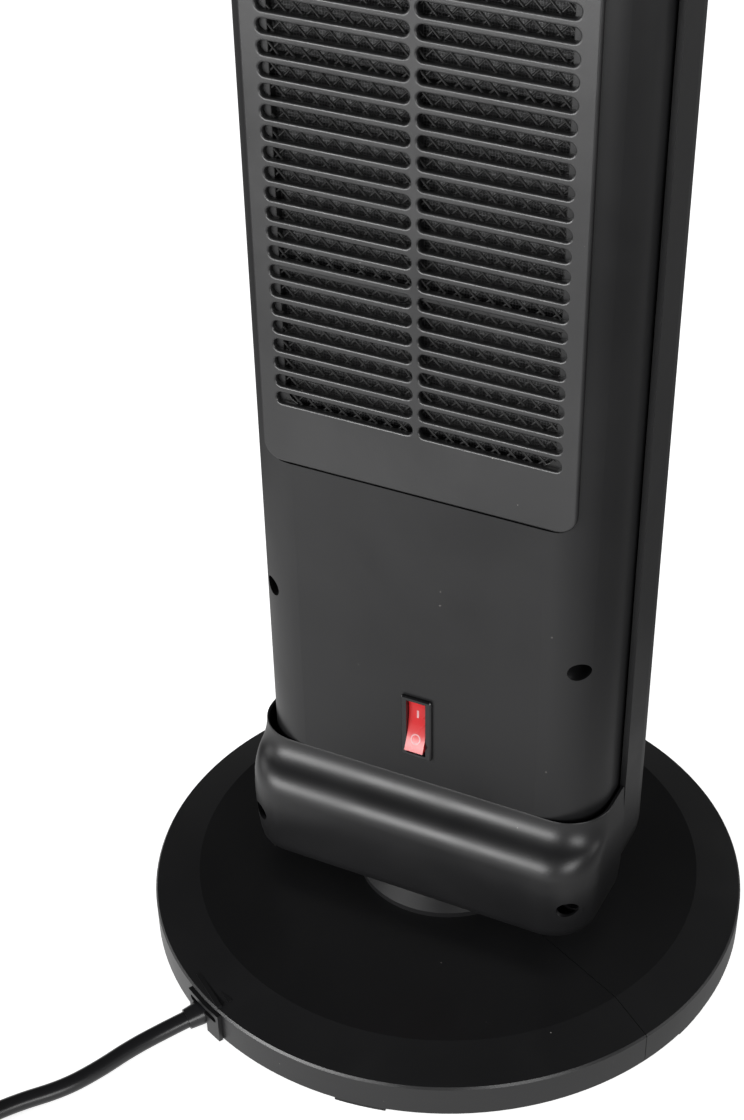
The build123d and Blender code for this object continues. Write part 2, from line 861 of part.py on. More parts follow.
def rear_screws(places):
    """Screw heads on the recess seats, each with a cross recess."""
    with BuildPart() as screws:
        with BuildSketch(Plane.XZ.offset(-screw_seat_y)):
            with Locations(*places):
                RegularPolygon(screw_head_radius, 8)
        extrude(amount=-screw_head_height)
        with BuildSketch(Plane.XZ.offset(-screw_seat_y - screw_head_height)):
            with Locations(*places):
                Rectangle(cross_length, cross_width)
                Rectangle(cross_width, cross_length)
        extrude(amount=screw_head_height / 2, mode=Mode.SUBTRACT)
    return screws


shell_screw_set = rear_screws(shell_screws)
save(shell_screw_set, "shell_screws")
cowl_screw_set = rear_screws(cowl_screws)
save(cowl_screw_set, "cowl_screws")

with BuildPart() as floor_screws:
    with BuildSketch(Plane.XY.offset(swing_floor + shell_wall + floor_boss_height)):
        with Locations(*floor_screw_places):
            RegularPolygon(screw_head_radius, 6)
    extrude(amount=screw_head_height)
save(floor_screws, "floor_screws")


# Rear grille: a panel with two columns of slots, and its dust filter
with BuildPart() as rear_grille:
    with BuildSketch(Plane.XZ.offset(-rear_y + panel_thickness)):
        with Locations((0, grille_centre_z)):
            RectangleRounded(2 * grille_half_width, grille_height, grille_corner_radius)
            with GridLocations(slot_length + slot_rib, slot_pitch, 2, slot_rows):
                Rectangle(slot_length, slot_height, mode=Mode.SUBTRACT)
    extrude(amount=-panel_thickness)
save(rear_grille, "rear_grille")

filter_y = rear_y - panel_thickness - filter_depth
filter_half_width = grille_half_width - ledge_width - panel_gap
filter_height = grille_height - 2 * (ledge_width + panel_gap)
with BuildPart() as dust_filter_frame:
    with BuildSketch(Plane.XZ.offset(-filter_y)):
        with Locations((0, grille_centre_z)):
            Rectangle(2 * filter_half_width, filter_height)
            Rectangle(
                2 * (filter_half_width - filter_border),
                filter_height - 2 * filter_border,
                mode=Mode.SUBTRACT,
            )
            Rectangle(filter_rib, filter_height - filter_border)
            with GridLocations(0, filter_height / 4, 1, 3):
                Rectangle(2 * filter_half_width - filter_border, filter_rib)
    extrude(amount=-filter_depth)
    with BuildSketch(Plane.XZ.offset(-filter_y)):
        with Locations((0, grille_centre_z)):
            Rectangle(2 * filter_half_width - filter_border, filter_height - filter_border)
    extrude(amount=-filter_net, mode=Mode.SUBTRACT)
save(dust_filter_frame, "dust_filter_frame")

net_width = 2 * filter_half_width - filter_border - 2 * panel_gap
net_height = filter_height - filter_border - 2 * panel_gap
mesh_width = net_width / net_columns
mesh_height = net_height / net_rows
with BuildPart() as dust_net:
    with BuildSketch(Plane.XZ.offset(-filter_y)):
        with Locations((0, grille_centre_z)):
            Rectangle(net_width, net_height)
            with GridLocations(mesh_width, mesh_height, net_columns, net_rows):
                Rectangle(mesh_width - net_strand, mesh_height - net_strand, mode=Mode.SUBTRACT)
    extrude(amount=-filter_net)
save(dust_net, "dust_net")


# Mains switch: bezel and body in one housing, and a tilting rocker on two pins
switch_cavity_half_width = rocker_half_width + rocker_gap
switch_cavity_half_height = rocker_half_height + rocker_swing_room
rocker_pivot_y = rear_y + bezel_thickness - rocker_pivot_depth
with BuildPart() as switch_housing:
    with BuildSketch(Plane.XZ.offset(-rear_y)):
        with Locations((0, switch_z)):
            Rectangle(bezel_width, bezel_height)
    extrude(amount=-bezel_thickness)
    chamfer(switch_housing.edges().filter_by(Axis.Y), bezel_chamfer)
    chamfer(switch_housing.faces().sort_by(Axis.Y)[-1].edges(), bezel_chamfer)
    with BuildSketch(Plane.XZ.offset(-rear_y)):
        with Locations((0, switch_z)):
            Rectangle(switch_body_width, switch_body_height)
    extrude(amount=switch_depth)
    with BuildSketch(Plane.XZ.offset(-rear_y - bezel_thickness)):
        with Locations((0, switch_z)):
            Rectangle(2 * switch_cavity_half_width, 2 * switch_cavity_half_height)
    extrude(amount=switch_depth / 2 + bezel_thickness, mode=Mode.SUBTRACT)
    with Locations((0, rocker_pivot_y, switch_z)):
        Cylinder(
            rocker_pin_radius + running_gap,
            rocker_pin_length + 2 * rocker_gap,
            rotation=(0, 90, 0),
            mode=Mode.SUBTRACT,
        )
    with BuildSketch(Plane.XZ.offset(-rear_y + switch_depth)):
        with Locations((0, switch_z)):
            with GridLocations(0, switch_tab_pitch, 1, 3):
                Rectangle(tab_thickness, tab_width)
    extrude(amount=switch_tab_length)
save(switch_housing, "switch_housing")

rocker_plane = Plane(origin=(-rocker_half_width, rocker_pivot_y, switch_z), x_dir=(0, 1, 0), z_dir=(1, 0, 0))
with BuildPart() as switch_rocker:
    with BuildSketch(rocker_plane):
        with BuildLine():
            dished = ThreePointArc(
                (rocker_rise, -rocker_half_height),
                (rocker_rise - rocker_dish, 0),
                (rocker_rise, rocker_half_height),
            )
            Polyline(
                dished @ 1,
                (rocker_rise - rocker_end, rocker_half_height - rocker_draft),
                (-rocker_root, rocker_root_half_height),
                (-rocker_root, -rocker_root_half_height),
                (rocker_rise - rocker_end, -rocker_half_height + rocker_draft),
                dished @ 0,
            )
        make_face()
    extrude(amount=2 * rocker_half_width)
    with Locations((0, rocker_pivot_y, switch_z)):
        Cylinder(rocker_pin_radius, rocker_pin_length, rotation=(0, 90, 0))
switch_rocker_tilted = switch_rocker.part.rotate(
    Axis((0, rocker_pivot_y, switch_z), (1, 0, 0)), rocker_tilt
)
switch_rocker_tilted.label = "switch_rocker"
export_step(switch_rocker_tilted, "parts/switch_rocker.step")


# Carry handle: a cup behind the opening, with a pocket above the mouth for the fingers
handle_wall_y = rear_y - shell_wall
handle_pocket_top = handle_z + handle_height / 2 + handle_hook
handle_bottom = handle_z - handle_height / 2
with BuildPart() as carry_handle_cup:
    with BuildSketch(Plane.XZ.offset(-handle_wall_y)):
        with Locations((0, (handle_pocket_top + handle_bottom) / 2)):
            RectangleRounded(
                2 * (handle_half_width + handle_wall),
                handle_pocket_top - handle_bottom + 2 * handle_wall,
                handle_corner_radius + handle_wall,
            )
    extrude(amount=handle_depth + handle_wall)
    with BuildSketch(Plane.XZ.offset(-handle_wall_y)):
        with Locations((0, (handle_pocket_top + handle_bottom) / 2)):
            RectangleRounded(
                2 * handle_half_width, handle_pocket_top - handle_bottom, handle_corner_radius
            )
    extrude(amount=handle_depth, mode=Mode.SUBTRACT)
save(carry_handle_cup, "carry_handle_cup")


# Blower: a drum of curved blades on a shaft, in a scroll housing behind the heating element
fan_plane = Plane(origin=(0, fan_y, fan_bottom))
blade_outer = fan_radius - fan_blade_lap
blade_inner = fan_radius - fan_blade_depth
with BuildSketch() as fan_blade:
    with BuildLine():
        Polyline((blade_inner, 0), ((blade_inner + blade_outer) / 2, fan_blade_bow), (blade_outer, 0))
    trace(line_width=fan_blade_thickness)
with BuildPart() as blower_wheel:
    with BuildSketch(fan_plane):
        Circle(fan_radius)
        Circle(fan_shaft_radius, mode=Mode.SUBTRACT)
    extrude(amount=fan_disc)
    with BuildSketch(fan_plane.offset(fan_height - fan_disc)):
        Circle(fan_radius)
    extrude(amount=fan_disc)
    with BuildSketch(fan_plane):
        with PolarLocations(0, fan_blades):
            add(fan_blade.sketch)
    extrude(amount=fan_height)
    with BuildSketch(fan_plane):
        Circle(fan_shaft_radius + fan_hub_wall)
        Circle(fan_shaft_radius, mode=Mode.SUBTRACT)
    extrude(amount=fan_hub_height)
    with BuildSketch(fan_plane.offset(fan_height)):
        Circle(fan_pin_radius)
    extrude(amount=fan_pin_length)
save(blower_wheel, "blower_wheel")

motor_bottom = fan_bottom - motor_gap - motor_height
with BuildPart() as motor_shaft:
    with BuildSketch(Plane(origin=(0, fan_y, motor_bottom))):
        Circle(fan_shaft_radius)
    extrude(amount=fan_bottom + fan_hub_height - motor_bottom)
save(motor_shaft, "motor_shaft")

duct_bottom = fan_bottom - duct_clearance - duct_plate
duct_top = fan_top + duct_clearance
duct_depth = duct_rear_y - duct_front_y
with BuildPart() as blower_motor:
    with BuildSketch(Plane(origin=(0, fan_y, motor_bottom))):
        Circle(motor_radius)
    extrude(amount=motor_height)
    chamfer(blower_motor.faces().sort_by(Axis.Z)[0].edges(), motor_chamfer)
    with BuildSketch(Plane(origin=(0, fan_y, motor_bottom + motor_height))):
        with PolarLocations(motor_radius - motor_post_width, 3):
            Rectangle(motor_post_width, motor_post_width)
    extrude(amount=duct_bottom - motor_bottom - motor_height)
    with BuildSketch(Plane(origin=(0, fan_y, motor_bottom))):
        Circle(fan_shaft_radius + running_gap)
    extrude(amount=2 * motor_height, mode=Mode.SUBTRACT)
    with BuildSketch(Plane(origin=(0, fan_y, motor_bottom))):
        with PolarLocations(motor_radius, motor_vents):
            Rectangle(motor_chamfer, motor_chamfer)
    extrude(amount=motor_height - 2 * motor_chamfer, mode=Mode.SUBTRACT)
save(blower_motor, "blower_motor")

with BuildPart() as blower_housing:
    with BuildSketch(Plane.XY.offset(duct_bottom)):
        with Locations((0, (duct_rear_y + duct_front_y) / 2)):
            Rectangle(2 * duct_half_width, duct_depth)
        with Locations((0, fan_y)):
            Circle(fan_shaft_radius + shaft_hole_play, mode=Mode.SUBTRACT)
    extrude(amount=duct_plate)
    with BuildSketch(Plane.XY.offset(duct_top)):
        with Locations((0, (duct_rear_y + duct_front_y) / 2)):
            Rectangle(2 * duct_half_width, duct_depth)
        with Locations((0, fan_y)):
            Circle(bearing_radius, mode=Mode.SUBTRACT)
    extrude(amount=duct_plate)
    with BuildSketch(Plane.XY.offset(duct_bottom)):
        with BuildLine():
            scroll = ThreePointArc((scroll_start_x, duct_rear_y - duct_wall), scroll_middle, scroll_end)
            Line(scroll @ 1, (-heater_half_width + duct_wall, duct_front_y))
        trace(line_width=duct_wall)
        with BuildLine():
            tongue = ThreePointArc(
                (fan_radius + duct_clearance + duct_wall, tongue_start_y),
                tongue_middle,
                (heater_half_width - duct_wall, duct_front_y),
            )
        trace(line_width=duct_wall)
        with Locations((0, duct_front_y)):
            Rectangle(
                2 * duct_half_width, duct_depth, mode=Mode.SUBTRACT, align=(Align.CENTER, Align.MAX)
            )
    extrude(amount=duct_top - duct_bottom)
save(blower_housing, "blower_housing")

with BuildPart() as wheel_bearing:
    with BuildSketch(Plane(origin=(0, fan_y, duct_top))):
        Circle(bearing_radius)
        Circle(fan_pin_radius + running_gap, mode=Mode.SUBTRACT)
    extrude(amount=fan_pin_length)
save(wheel_bearing, "wheel_bearing")


# Heating element: a frame, ceramic bars and folded fins between them
heater_height = outlet_height - 2 * heater_margin
heater_centre_z = outlet_bottom + outlet_height / 2
heater_plane = Plane(
    origin=(0, heater_front_y + heater_depth, heater_centre_z), x_dir=(1, 0, 0), z_dir=(0, -1, 0)
)
heater_inner_half = heater_half_width - heater_border
column_pitch = 2 * heater_inner_half / fin_columns
bar_width = column_pitch - fin_width
with BuildPart() as heater_frame:
    with BuildSketch(heater_plane):
        Rectangle(2 * heater_half_width, heater_height)
        Rectangle(2 * heater_inner_half, heater_height - 2 * heater_border, mode=Mode.SUBTRACT)
    extrude(amount=heater_depth)
save(heater_frame, "heater_frame")

with BuildPart() as heater_bars:
    with BuildSketch(heater_plane):
        with GridLocations(column_pitch, 0, fin_columns - 1, 1):
            Rectangle(bar_width, heater_height - 2 * heater_border)
    extrude(amount=heater_depth)
save(heater_bars, "heater_bars")

fin_span = heater_height - 2 * heater_border
fin_count = int(fin_span / fin_pitch - 0.5)
fin_reach = fin_width / 2 - fin_thickness
folds = [
    ((fin_reach if fold % 2 else -fin_reach), (fold - fin_count / 2) * fin_pitch)
    for fold in range(fin_count + 1)
]
with BuildSketch() as fin_column:
    with BuildLine():
        Polyline(*folds)
    trace(line_width=fin_thickness)
with BuildPart() as heater_fins:
    with BuildSketch(heater_plane):
        with GridLocations(column_pitch, 0, fin_columns, 1):
            add(fin_column.sketch)
    extrude(amount=heater_depth)
save(heater_fins, "heater_fins")

cutout_x = heater_inner_half - cutout_inset
cutout_y = heater_front_y + heater_depth / 2
with BuildPart() as thermal_cutout:
    with BuildSketch(Plane(origin=(cutout_x, cutout_y, outlet_bottom + heater_margin))):
        Rectangle(cutout_width, heater_depth - 2 * tab_thickness)
    extrude(amount=-cutout_height)
    with BuildSketch(Plane(origin=(cutout_x, cutout_y, outlet_bottom + heater_margin - cutout_height))):
        with GridLocations(cutout_tab_pitch, 0, 2, 1):
            Rectangle(tab_thickness, tab_width)
    extrude(amount=-cutout_tab_length)
save(thermal_cutout, "thermal_cutout")


# Warm-air grille: louvres in a bowed frame that sits in the front window
with BuildPart() as front_grille:
    with BuildSketch(Plane.XY.offset(outlet_bottom + grille_gap)):
        add(front_outline(grille_recess))
        add(front_outline(grille_recess + louvre_depth), mode=Mode.SUBTRACT)
        with Locations((0, front_corner_y)):
            Rectangle(2 * (outlet_half_width - grille_gap), 4 * front_bow, mode=Mode.INTERSECT)
    extrude(amount=outlet_height - 2 * grille_gap)
    with BuildSketch(Plane.XY.offset(outlet_bottom - louvre_depth)):
        add(front_outline(shell_wall + grille_gap))
        add(front_outline(grille_recess + louvre_depth), mode=Mode.SUBTRACT)
        with Locations((0, front_corner_y)):
            Rectangle(2 * (outlet_half_width + grille_flange), 4 * front_bow, mode=Mode.INTERSECT)
    extrude(amount=outlet_height + 2 * louvre_depth)
    rows = int(outlet_height / louvre_pitch) - 2
    louvre_length = 2 * (outlet_half_width - grille_gap - grille_border)
    with BuildSketch(Plane.XZ.offset(-front_corner_y)):
        with Locations((0, heater_centre_z)):
            with GridLocations(0, louvre_pitch, 1, rows):
                Rectangle(louvre_length, louvre_pitch - louvre_thickness)
    extrude(amount=2 * front_bow, both=True, mode=Mode.SUBTRACT)
save(front_grille, "front_grille")


# Top cover with its control panel, display and buttons
def cover_outline(inset):
    half = front_half_width - inset
    rear = rear_y + cover_overhang - inset
    with BuildSketch(mode=Mode.PRIVATE) as outline:
        with BuildLine():
            bow = ThreePointArc(
                (-half, front_corner_y + inset),
                (0, front_corner_y - front_bow + inset),
                (half, front_corner_y + inset),
            )
            Polyline(bow @ 1, (half, rear), (-half, rear), bow @ 0)
        make_face()
        fillet(outline.vertices().sort_by(Axis.Y)[:2], front_corner_radius - inset)
        fillet(outline.vertices().group_by(Axis.Y)[-1], rear_corner_radius + cover_overhang - inset)
    return outline.sketch


cover_bottom = shell_top + cover_seam
cover_ceiling = tower_top - shell_wall
panel_top_z = tower_top - panel_recess
with BuildPart() as top_cover:
    with BuildSketch(Plane.XY.offset(cover_bottom)):
        add(cover_outline(0))
    extrude(amount=tower_top - cover_bottom)
    chamfer(top_cover.faces().sort_by(Axis.Z)[-1].edges(), cover_edge_chamfer)
    with BuildSketch(Plane.XY.offset(cover_bottom)):
        add(cover_outline(shell_wall))
    extrude(amount=cover_ceiling - cover_bottom, mode=Mode.SUBTRACT)
    with BuildSketch(Plane.XY.offset(tower_top)):
        with Locations((0, panel_y)):
            RectangleRounded(panel_length + panel_gap, panel_width + panel_gap, panel_corner_radius)
    extrude(amount=-2 * shell_wall, mode=Mode.SUBTRACT)
save(top_cover, "top_cover")

with BuildPart() as control_panel:
    with BuildSketch(Plane.XY.offset(panel_top_z)):
        with Locations((0, panel_y)):
            RectangleRounded(panel_length, panel_width, panel_corner_radius - panel_gap / 2)
    extrude(amount=cover_ceiling - panel_top_z)
    with BuildSketch(Plane.XY.offset(cover_ceiling)):
        with Locations((0, panel_y)):
            Rectangle(panel_length + 2 * panel_lap, panel_width + 2 * panel_lap)
    extrude(amount=-panel_flange)
    with BuildSketch(Plane.XY.offset(cover_ceiling - panel_flange)):
        with Locations((0, panel_y)):
            with GridLocations(panel_length - board_margin, panel_width - board_margin, 2, 2):
                Rectangle(board_post, board_post)
    extrude(amount=board_z + board_thickness - cover_ceiling + panel_flange)
    with BuildSketch(Plane.XY.offset(panel_top_z)):
        with Locations(*[(x, panel_y) for x in button_positions]):
            Circle(button_radius + button_gap)
        with Locations((0, panel_y)):
            Rectangle(display_length + panel_gap, display_width + panel_gap)
    extrude(amount=-2 * shell_wall, mode=Mode.SUBTRACT)
save(control_panel, "control_panel")

panel_underside = cover_ceiling - panel_flange
with BuildPart() as display_lens:
    with BuildSketch(Plane.XY.offset(panel_underside)):
        with Locations((0, panel_y)):
            Rectangle(display_length + 2 * lens_lip, display_width + 2 * lens_lip)
    extrude(amount=-lens_lip_thickness)
    with BuildSketch(Plane.XY.offset(panel_underside)):
        with Locations((0, panel_y)):
            Rectangle(display_length, display_width)
    extrude(amount=panel_top_z - panel_underside - lens_recess)
save(display_lens, "display_lens")

for number, x in enumerate(button_positions, start=1):
    with BuildPart() as button_cap:
        with BuildSketch(Plane(origin=(x, panel_y, panel_underside))):
            Circle(button_radius)
        extrude(amount=panel_top_z + button_proud - panel_underside)
        chamfer(button_cap.faces().sort_by(Axis.Z)[-1].edges(), button_chamfer)
        with BuildSketch(Plane(origin=(x, panel_y, panel_underside))):
            Rectangle(2 * (button_radius + button_foot_lap), 2 * (button_radius + button_foot_lap))
        extrude(amount=-button_foot_thickness)
    save(button_cap, f"button_cap_{number}")

switch_tip = panel_underside - button_foot_thickness - button_travel - key_gap
with BuildPart() as control_board:
    with BuildSketch(Plane.XY.offset(board_z)):
        with Locations((0, panel_y)):
            Rectangle(panel_length + 2 * board_margin, panel_width + 2 * board_margin)
    extrude(amount=board_thickness)
    with BuildSketch(Plane.XY.offset(board_z + board_thickness)):
        with Locations(*[(x, panel_y) for x in button_positions]):
            Rectangle(key_width, key_width)
    extrude(amount=key_height)
    with BuildSketch(Plane.XY.offset(board_z + board_thickness)):
        with Locations(*[(x, panel_y) for x in button_positions]):
            Rectangle(key_width / 2, key_width / 2)
    extrude(amount=switch_tip - board_z - board_thickness)
    with BuildSketch(Plane.XY.offset(board_z)):
        with Locations(*[(side * plug_socket_x, panel_y) for side in (-1, 1)]):
            Rectangle(plug_socket_length, plug_socket_width)
    extrude(amount=-plug_socket_height)
save(control_board, "control_board")

with BuildPart() as power_board:
    with BuildSketch(Plane.XZ.offset(-board_y)):
        with Locations((0, board_centre_z)):
            Rectangle(board_width, board_height)
    extrude(amount=board_thickness)
    with BuildSketch(Plane.XZ.offset(-board_y)):
        for x, z, width, height in board_blocks:
            with Locations((x, board_centre_z + z)):
                Rectangle(width, height)
    extrude(amount=-board_block_depth)
    with BuildSketch(Plane.XZ.offset(-board_y)):
        with Locations(*[(capacitor_x, board_centre_z + z) for z in capacitor_heights]):
            Circle(capacitor_radius)
    extrude(amount=-capacitor_length)
    with BuildSketch(Plane.XZ.offset(-board_y + board_thickness)):
        with Locations((0, board_centre_z)):
            with GridLocations(board_width - 2 * board_post, board_height - 2 * board_post, 2, 2):
                Rectangle(board_post, board_post)
    extrude(amount=board_y - board_thickness - front_corner_y + board_post_length)
save(power_board, "power_board")

with BuildPart() as tilt_switch:
    with BuildSketch(Plane(origin=(*tilt_switch_place, swing_floor + shell_wall))):
        Rectangle(tilt_switch_width, tilt_switch_width)
    extrude(amount=tilt_switch_height)
    with BuildSketch(Plane(origin=(*tilt_switch_place, swing_floor + shell_wall + tilt_switch_height))):
        Rectangle(tilt_switch_width / 2, tilt_switch_width / 2)
    extrude(amount=tilt_switch_cap)
save(tilt_switch, "tilt_switch")

with BuildPart() as terminal_block:
    with BuildSketch(Plane(origin=(*terminal_place, swing_floor + shell_wall))):
        Rectangle(3 * terminal_pitch, terminal_depth)
    extrude(amount=terminal_height)
    with BuildSketch(Plane(origin=(*terminal_place, swing_floor + shell_wall + terminal_height))):
        with GridLocations(terminal_pitch, 0, 3, 1):
            Rectangle(terminal_hole, terminal_hole)
    extrude(amount=-terminal_height / 4, mode=Mode.SUBTRACT)
save(terminal_block, "terminal_block")


# Cord outlet: a slotted clip on the base's rim and a tapered strain relief
with BuildPart() as cord_outlet_clip:
    with BuildSketch(Plane.XY.offset(foot_height)):
        Circle(base_radius + clip_thickness)
        Circle(base_radius + running_gap, mode=Mode.SUBTRACT)
        with Locations(Location((0, 0, 0), (0, 0, base_rear_angle))):
            Rectangle(2 * base_radius, clip_width, align=(Align.MIN, Align.CENTER), mode=Mode.INTERSECT)
    extrude(amount=clip_height)
    with BuildSketch(outlet_plane(base_radius - clip_thickness)):
        with Locations((0, foot_height + clip_height - clip_slot_drop)):
            SlotOverall(clip_slot_length, clip_slot_height)
    extrude(amount=4 * clip_thickness, mode=Mode.SUBTRACT)
    with BuildSketch(relief_plane(-relief_outside)):
        Circle(relief_radius + clip_gap)
        Rectangle(2 * (relief_radius + clip_gap), rim_top, align=(Align.CENTER, Align.MAX))
    extrude(amount=2 * relief_outside, mode=Mode.SUBTRACT)
save(cord_outlet_clip, "cord_outlet_clip")

relief_axis = Axis(relief_centre, relief_way)
relief_profile_plane = Plane(origin=relief_centre, x_dir=relief_way, z_dir=relief_side)
with BuildPart() as cord_strain_relief:
    with BuildSketch(relief_profile_plane):
        with BuildLine():
            Polyline(
                (-relief_inside, 0),
                (-relief_inside, relief_radius),
                (relief_rib_place - relief_collar_width, relief_radius),
                (relief_rib_place - relief_collar_width, relief_collar_radius),
                (relief_rib_place, relief_collar_radius),
                (relief_rib_place, relief_radius),
                (0, relief_radius),
                (relief_outside, relief_tip_radius),
                (relief_outside, 0),
                close=True,
            )
        make_face()
    revolve(axis=relief_axis)
save(cord_strain_relief, "cord_strain_relief")


# Mains cord: a free stretch on the floor, then the stored length in a tied two-layer coil
def coil_point(turned):
    """A point of the coil's centre line, and its direction, after this many turns from its start."""
    total = 2 * coil_turns + 0.5
    lower = cord_radius + coil_floor

    def place(along):
        if along <= coil_turns:
            radius = coil_inner_radius + (coil_turns - along) * coil_spacing
            height = lower
        elif along < coil_turns + 0.5:
            share = 2 * (along - coil_turns)
            radius = coil_inner_radius - coil_spacing / 2 * share * (1 - share)
            height = lower + coil_spacing * share * share * (3 - 2 * share)
        else:
            radius = coil_inner_radius + (along - coil_turns - 0.5) * coil_spacing
            height = lower + coil_spacing
        angle = radians(coil_start_angle + 360.0 * along)
        return Vector(coil_centre[0] + radius * cos(angle), coil_centre[1] + radius * sin(angle), height)

    before = place(max(turned - coil_turn_step, 0))
    after = place(min(turned + coil_turn_step, total))
    return place(turned), (after - before).normalized()


def biarc_joint(start, start_way, end, end_way):
    """The point where two tangent arcs meet between two points with given directions."""
    chord = end - start
    ways = start_way + end_way
    spread = 2 * (1 - start_way.dot(end_way))
    reach = (-chord.dot(ways) + sqrt(chord.dot(ways) ** 2 + spread * chord.dot(chord))) / spread
    first = start + start_way * reach
    second = end - end_way * reach
    return (first + second) / 2, (second - first).normalized()


coil_steps = int(4 * (2 * coil_turns + 0.5))
coil_nodes = [coil_point(step / 4) for step in range(coil_steps + 1)]
coil_lead = coil_nodes[0][0] - coil_nodes[0][1] * cord_diameter
coil_tail = coil_nodes[-1][0] + coil_nodes[-1][1] * cord_diameter
with BuildLine() as coil_path:
    Line(coil_lead, coil_nodes[0][0])
    for (start, start_way), (end, end_way) in zip(coil_nodes, coil_nodes[1:]):
        joint, joint_way = biarc_joint(start, start_way, end, end_way)
        TangentArc(start, joint, tangent=start_way)
        TangentArc(joint, end, tangent=joint_way)
    Line(coil_nodes[-1][0], coil_tail)

# the cord's solids have six flat sides
with BuildSketch() as cord_section:
    RegularPolygon(cord_radius, cord_sides)

with BuildPart() as cord_coil:
    with BuildSketch(Plane(origin=coil_lead, z_dir=coil_nodes[0][1])):
        add(cord_section.sketch)
    sweep(path=coil_path.wire())
save(cord_coil, "cord_coil")

relief_tip = relief_centre + relief_way * relief_outside
cord_points = [
    relief_tip,
    relief_tip + relief_way * cord_first_run,
    Vector(79.9, 147.5, 4.3),
    Vector(85.6, 161.8, 3.8),
    Vector(93.5, 177.5, 3.8),
    Vector(107.5, 193.0, 3.8),
    Vector(118.0, 210.0, 4.0),
    coil_lead - coil_nodes[0][1] * cord_last_run,
    coil_lead,
]
cord_radii = []
for before, point, after in zip(cord_points, cord_points[1:], cord_points[2:]):
    turn = (point - before).get_angle(after - point)
    run = min((point - before).length, (after - point).length)
    cord_radii.append(cord_bend_share * run / tan(radians(turn / 2)))
with BuildLine() as cord_path:
    FilletPolyline(*cord_points, radius=cord_radii)
with BuildPart() as power_cord:
    with BuildSketch(Plane(origin=relief_tip, z_dir=relief_way)):
        add(cord_section.sketch)
    sweep(path=cord_path.wire())
save(power_cord, "power_cord")

tie_centre = Vector(coil_centre[0] + coil_mean_radius, coil_centre[1], coil_middle_z)
with BuildPart() as cord_tie:
    with BuildSketch(Plane(origin=tie_centre, x_dir=(1, 0, 0), z_dir=(0, 1, 0))):
        RectangleRounded(tie_span, tie_rise, cord_radius)
        offset(amount=tie_thickness)
        RectangleRounded(tie_span, tie_rise, cord_radius, mode=Mode.SUBTRACT)
    extrude(amount=tie_width / 2, both=True)
save(cord_tie, "cord_tie")

plug_way = coil_nodes[-1][1]
plug_centre = coil_tail + plug_way * (plug_sleeve_length + plug_radius)
sleeve_end = coil_tail + plug_way * (plug_sleeve_length + 2 * plug_chamfer)
with BuildPart() as plug_body:
    with BuildSketch(Plane(origin=(plug_centre.X, plug_centre.Y, 0))):
        Circle(plug_radius)
    extrude(amount=plug_depth)
    chamfer(plug_body.edges().filter_by(GeomType.CIRCLE), plug_chamfer)
    with BuildSketch(Plane(origin=coil_tail, z_dir=plug_way)):
        Circle(cord_radius + plug_sleeve_wall)
    with BuildSketch(Plane(origin=sleeve_end, z_dir=plug_way)):
        Circle(plug_root_radius)
    loft()
save(plug_body, "plug_body")

with BuildPart() as plug_pins:
    with BuildSketch(Plane(origin=(plug_centre.X, plug_centre.Y, plug_depth))):
        with PolarLocations(plug_pin_spacing / 2, 2, start_angle=coil_start_angle):
            Circle(plug_pin_radius)
    extrude(amount=plug_pin_length)
save(plug_pins, "plug_pins")


# Sizes of the cord that the drawing has to keep, printed
gap_samples = 500
coil_wire = coil_path.wire()
samples = [coil_wire @ (step / gap_samples) for step in range(gap_samples + 1)]
near = int(6 * cord_diameter / (coil_wire.length / gap_samples))
least_gap = min(
    (samples[first] - samples[second]).length - cord_diameter
    for first in range(gap_samples + 1)
    for second in range(first + near, gap_samples + 1)
)
section = cord_section.sketch.area
cord_wire = cord_path.wire()
print("coil length", round(coil_wire.length, 1), "least gap", round(least_gap, 2))
print("coil volume ratio", round(cord_coil.part.volume / (section * coil_wire.length), 4))
print("cord length", round(cord_wire.length, 1), "radii", [round(radius, 1) for radius in cord_radii])
print("cord volume ratio", round(power_cord.part.volume / (section * cord_wire.length), 4))
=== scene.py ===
import json
import math

import bmesh
import bpy
from mathutils import Matrix, Vector
from mathutils.bvhtree import BVHTree
from mathutils.geometry import tessellate_polygon


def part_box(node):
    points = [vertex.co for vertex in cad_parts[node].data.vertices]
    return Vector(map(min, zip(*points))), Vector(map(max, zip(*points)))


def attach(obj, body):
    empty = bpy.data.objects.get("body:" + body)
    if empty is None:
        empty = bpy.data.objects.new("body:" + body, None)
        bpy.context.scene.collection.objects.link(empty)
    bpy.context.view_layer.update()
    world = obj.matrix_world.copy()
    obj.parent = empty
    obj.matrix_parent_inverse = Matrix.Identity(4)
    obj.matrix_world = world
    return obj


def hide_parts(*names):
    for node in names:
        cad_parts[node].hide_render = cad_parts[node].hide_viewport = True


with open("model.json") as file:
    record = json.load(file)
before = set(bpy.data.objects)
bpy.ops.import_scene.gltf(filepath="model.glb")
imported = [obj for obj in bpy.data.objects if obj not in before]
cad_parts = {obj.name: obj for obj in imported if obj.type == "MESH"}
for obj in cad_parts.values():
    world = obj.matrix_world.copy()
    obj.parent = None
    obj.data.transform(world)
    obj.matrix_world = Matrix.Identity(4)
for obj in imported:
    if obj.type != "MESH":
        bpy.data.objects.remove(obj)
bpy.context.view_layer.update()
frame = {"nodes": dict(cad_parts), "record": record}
nodes = frame["nodes"]
slot_of = {part["node"]: part["material_slot"] for part in frame["record"]["subparts"]}

# The outlines of the pieces below are in millimetres, and Blender takes metres
MM = 0.001

# Camera: where the photograph was taken from, and the photograph's own frame
image_width = 744
image_height = 1120
camera_place = Vector((-0.29085, 0.62633, 0.66970))
camera_azimuth = 205.753
camera_elevation = 40.1756
camera_roll = -0.258
focal_pixels = 2079.876
centre_x = 425.0
centre_y = 750.0
sensor_width = 36.0
nearest_seen = 0.01


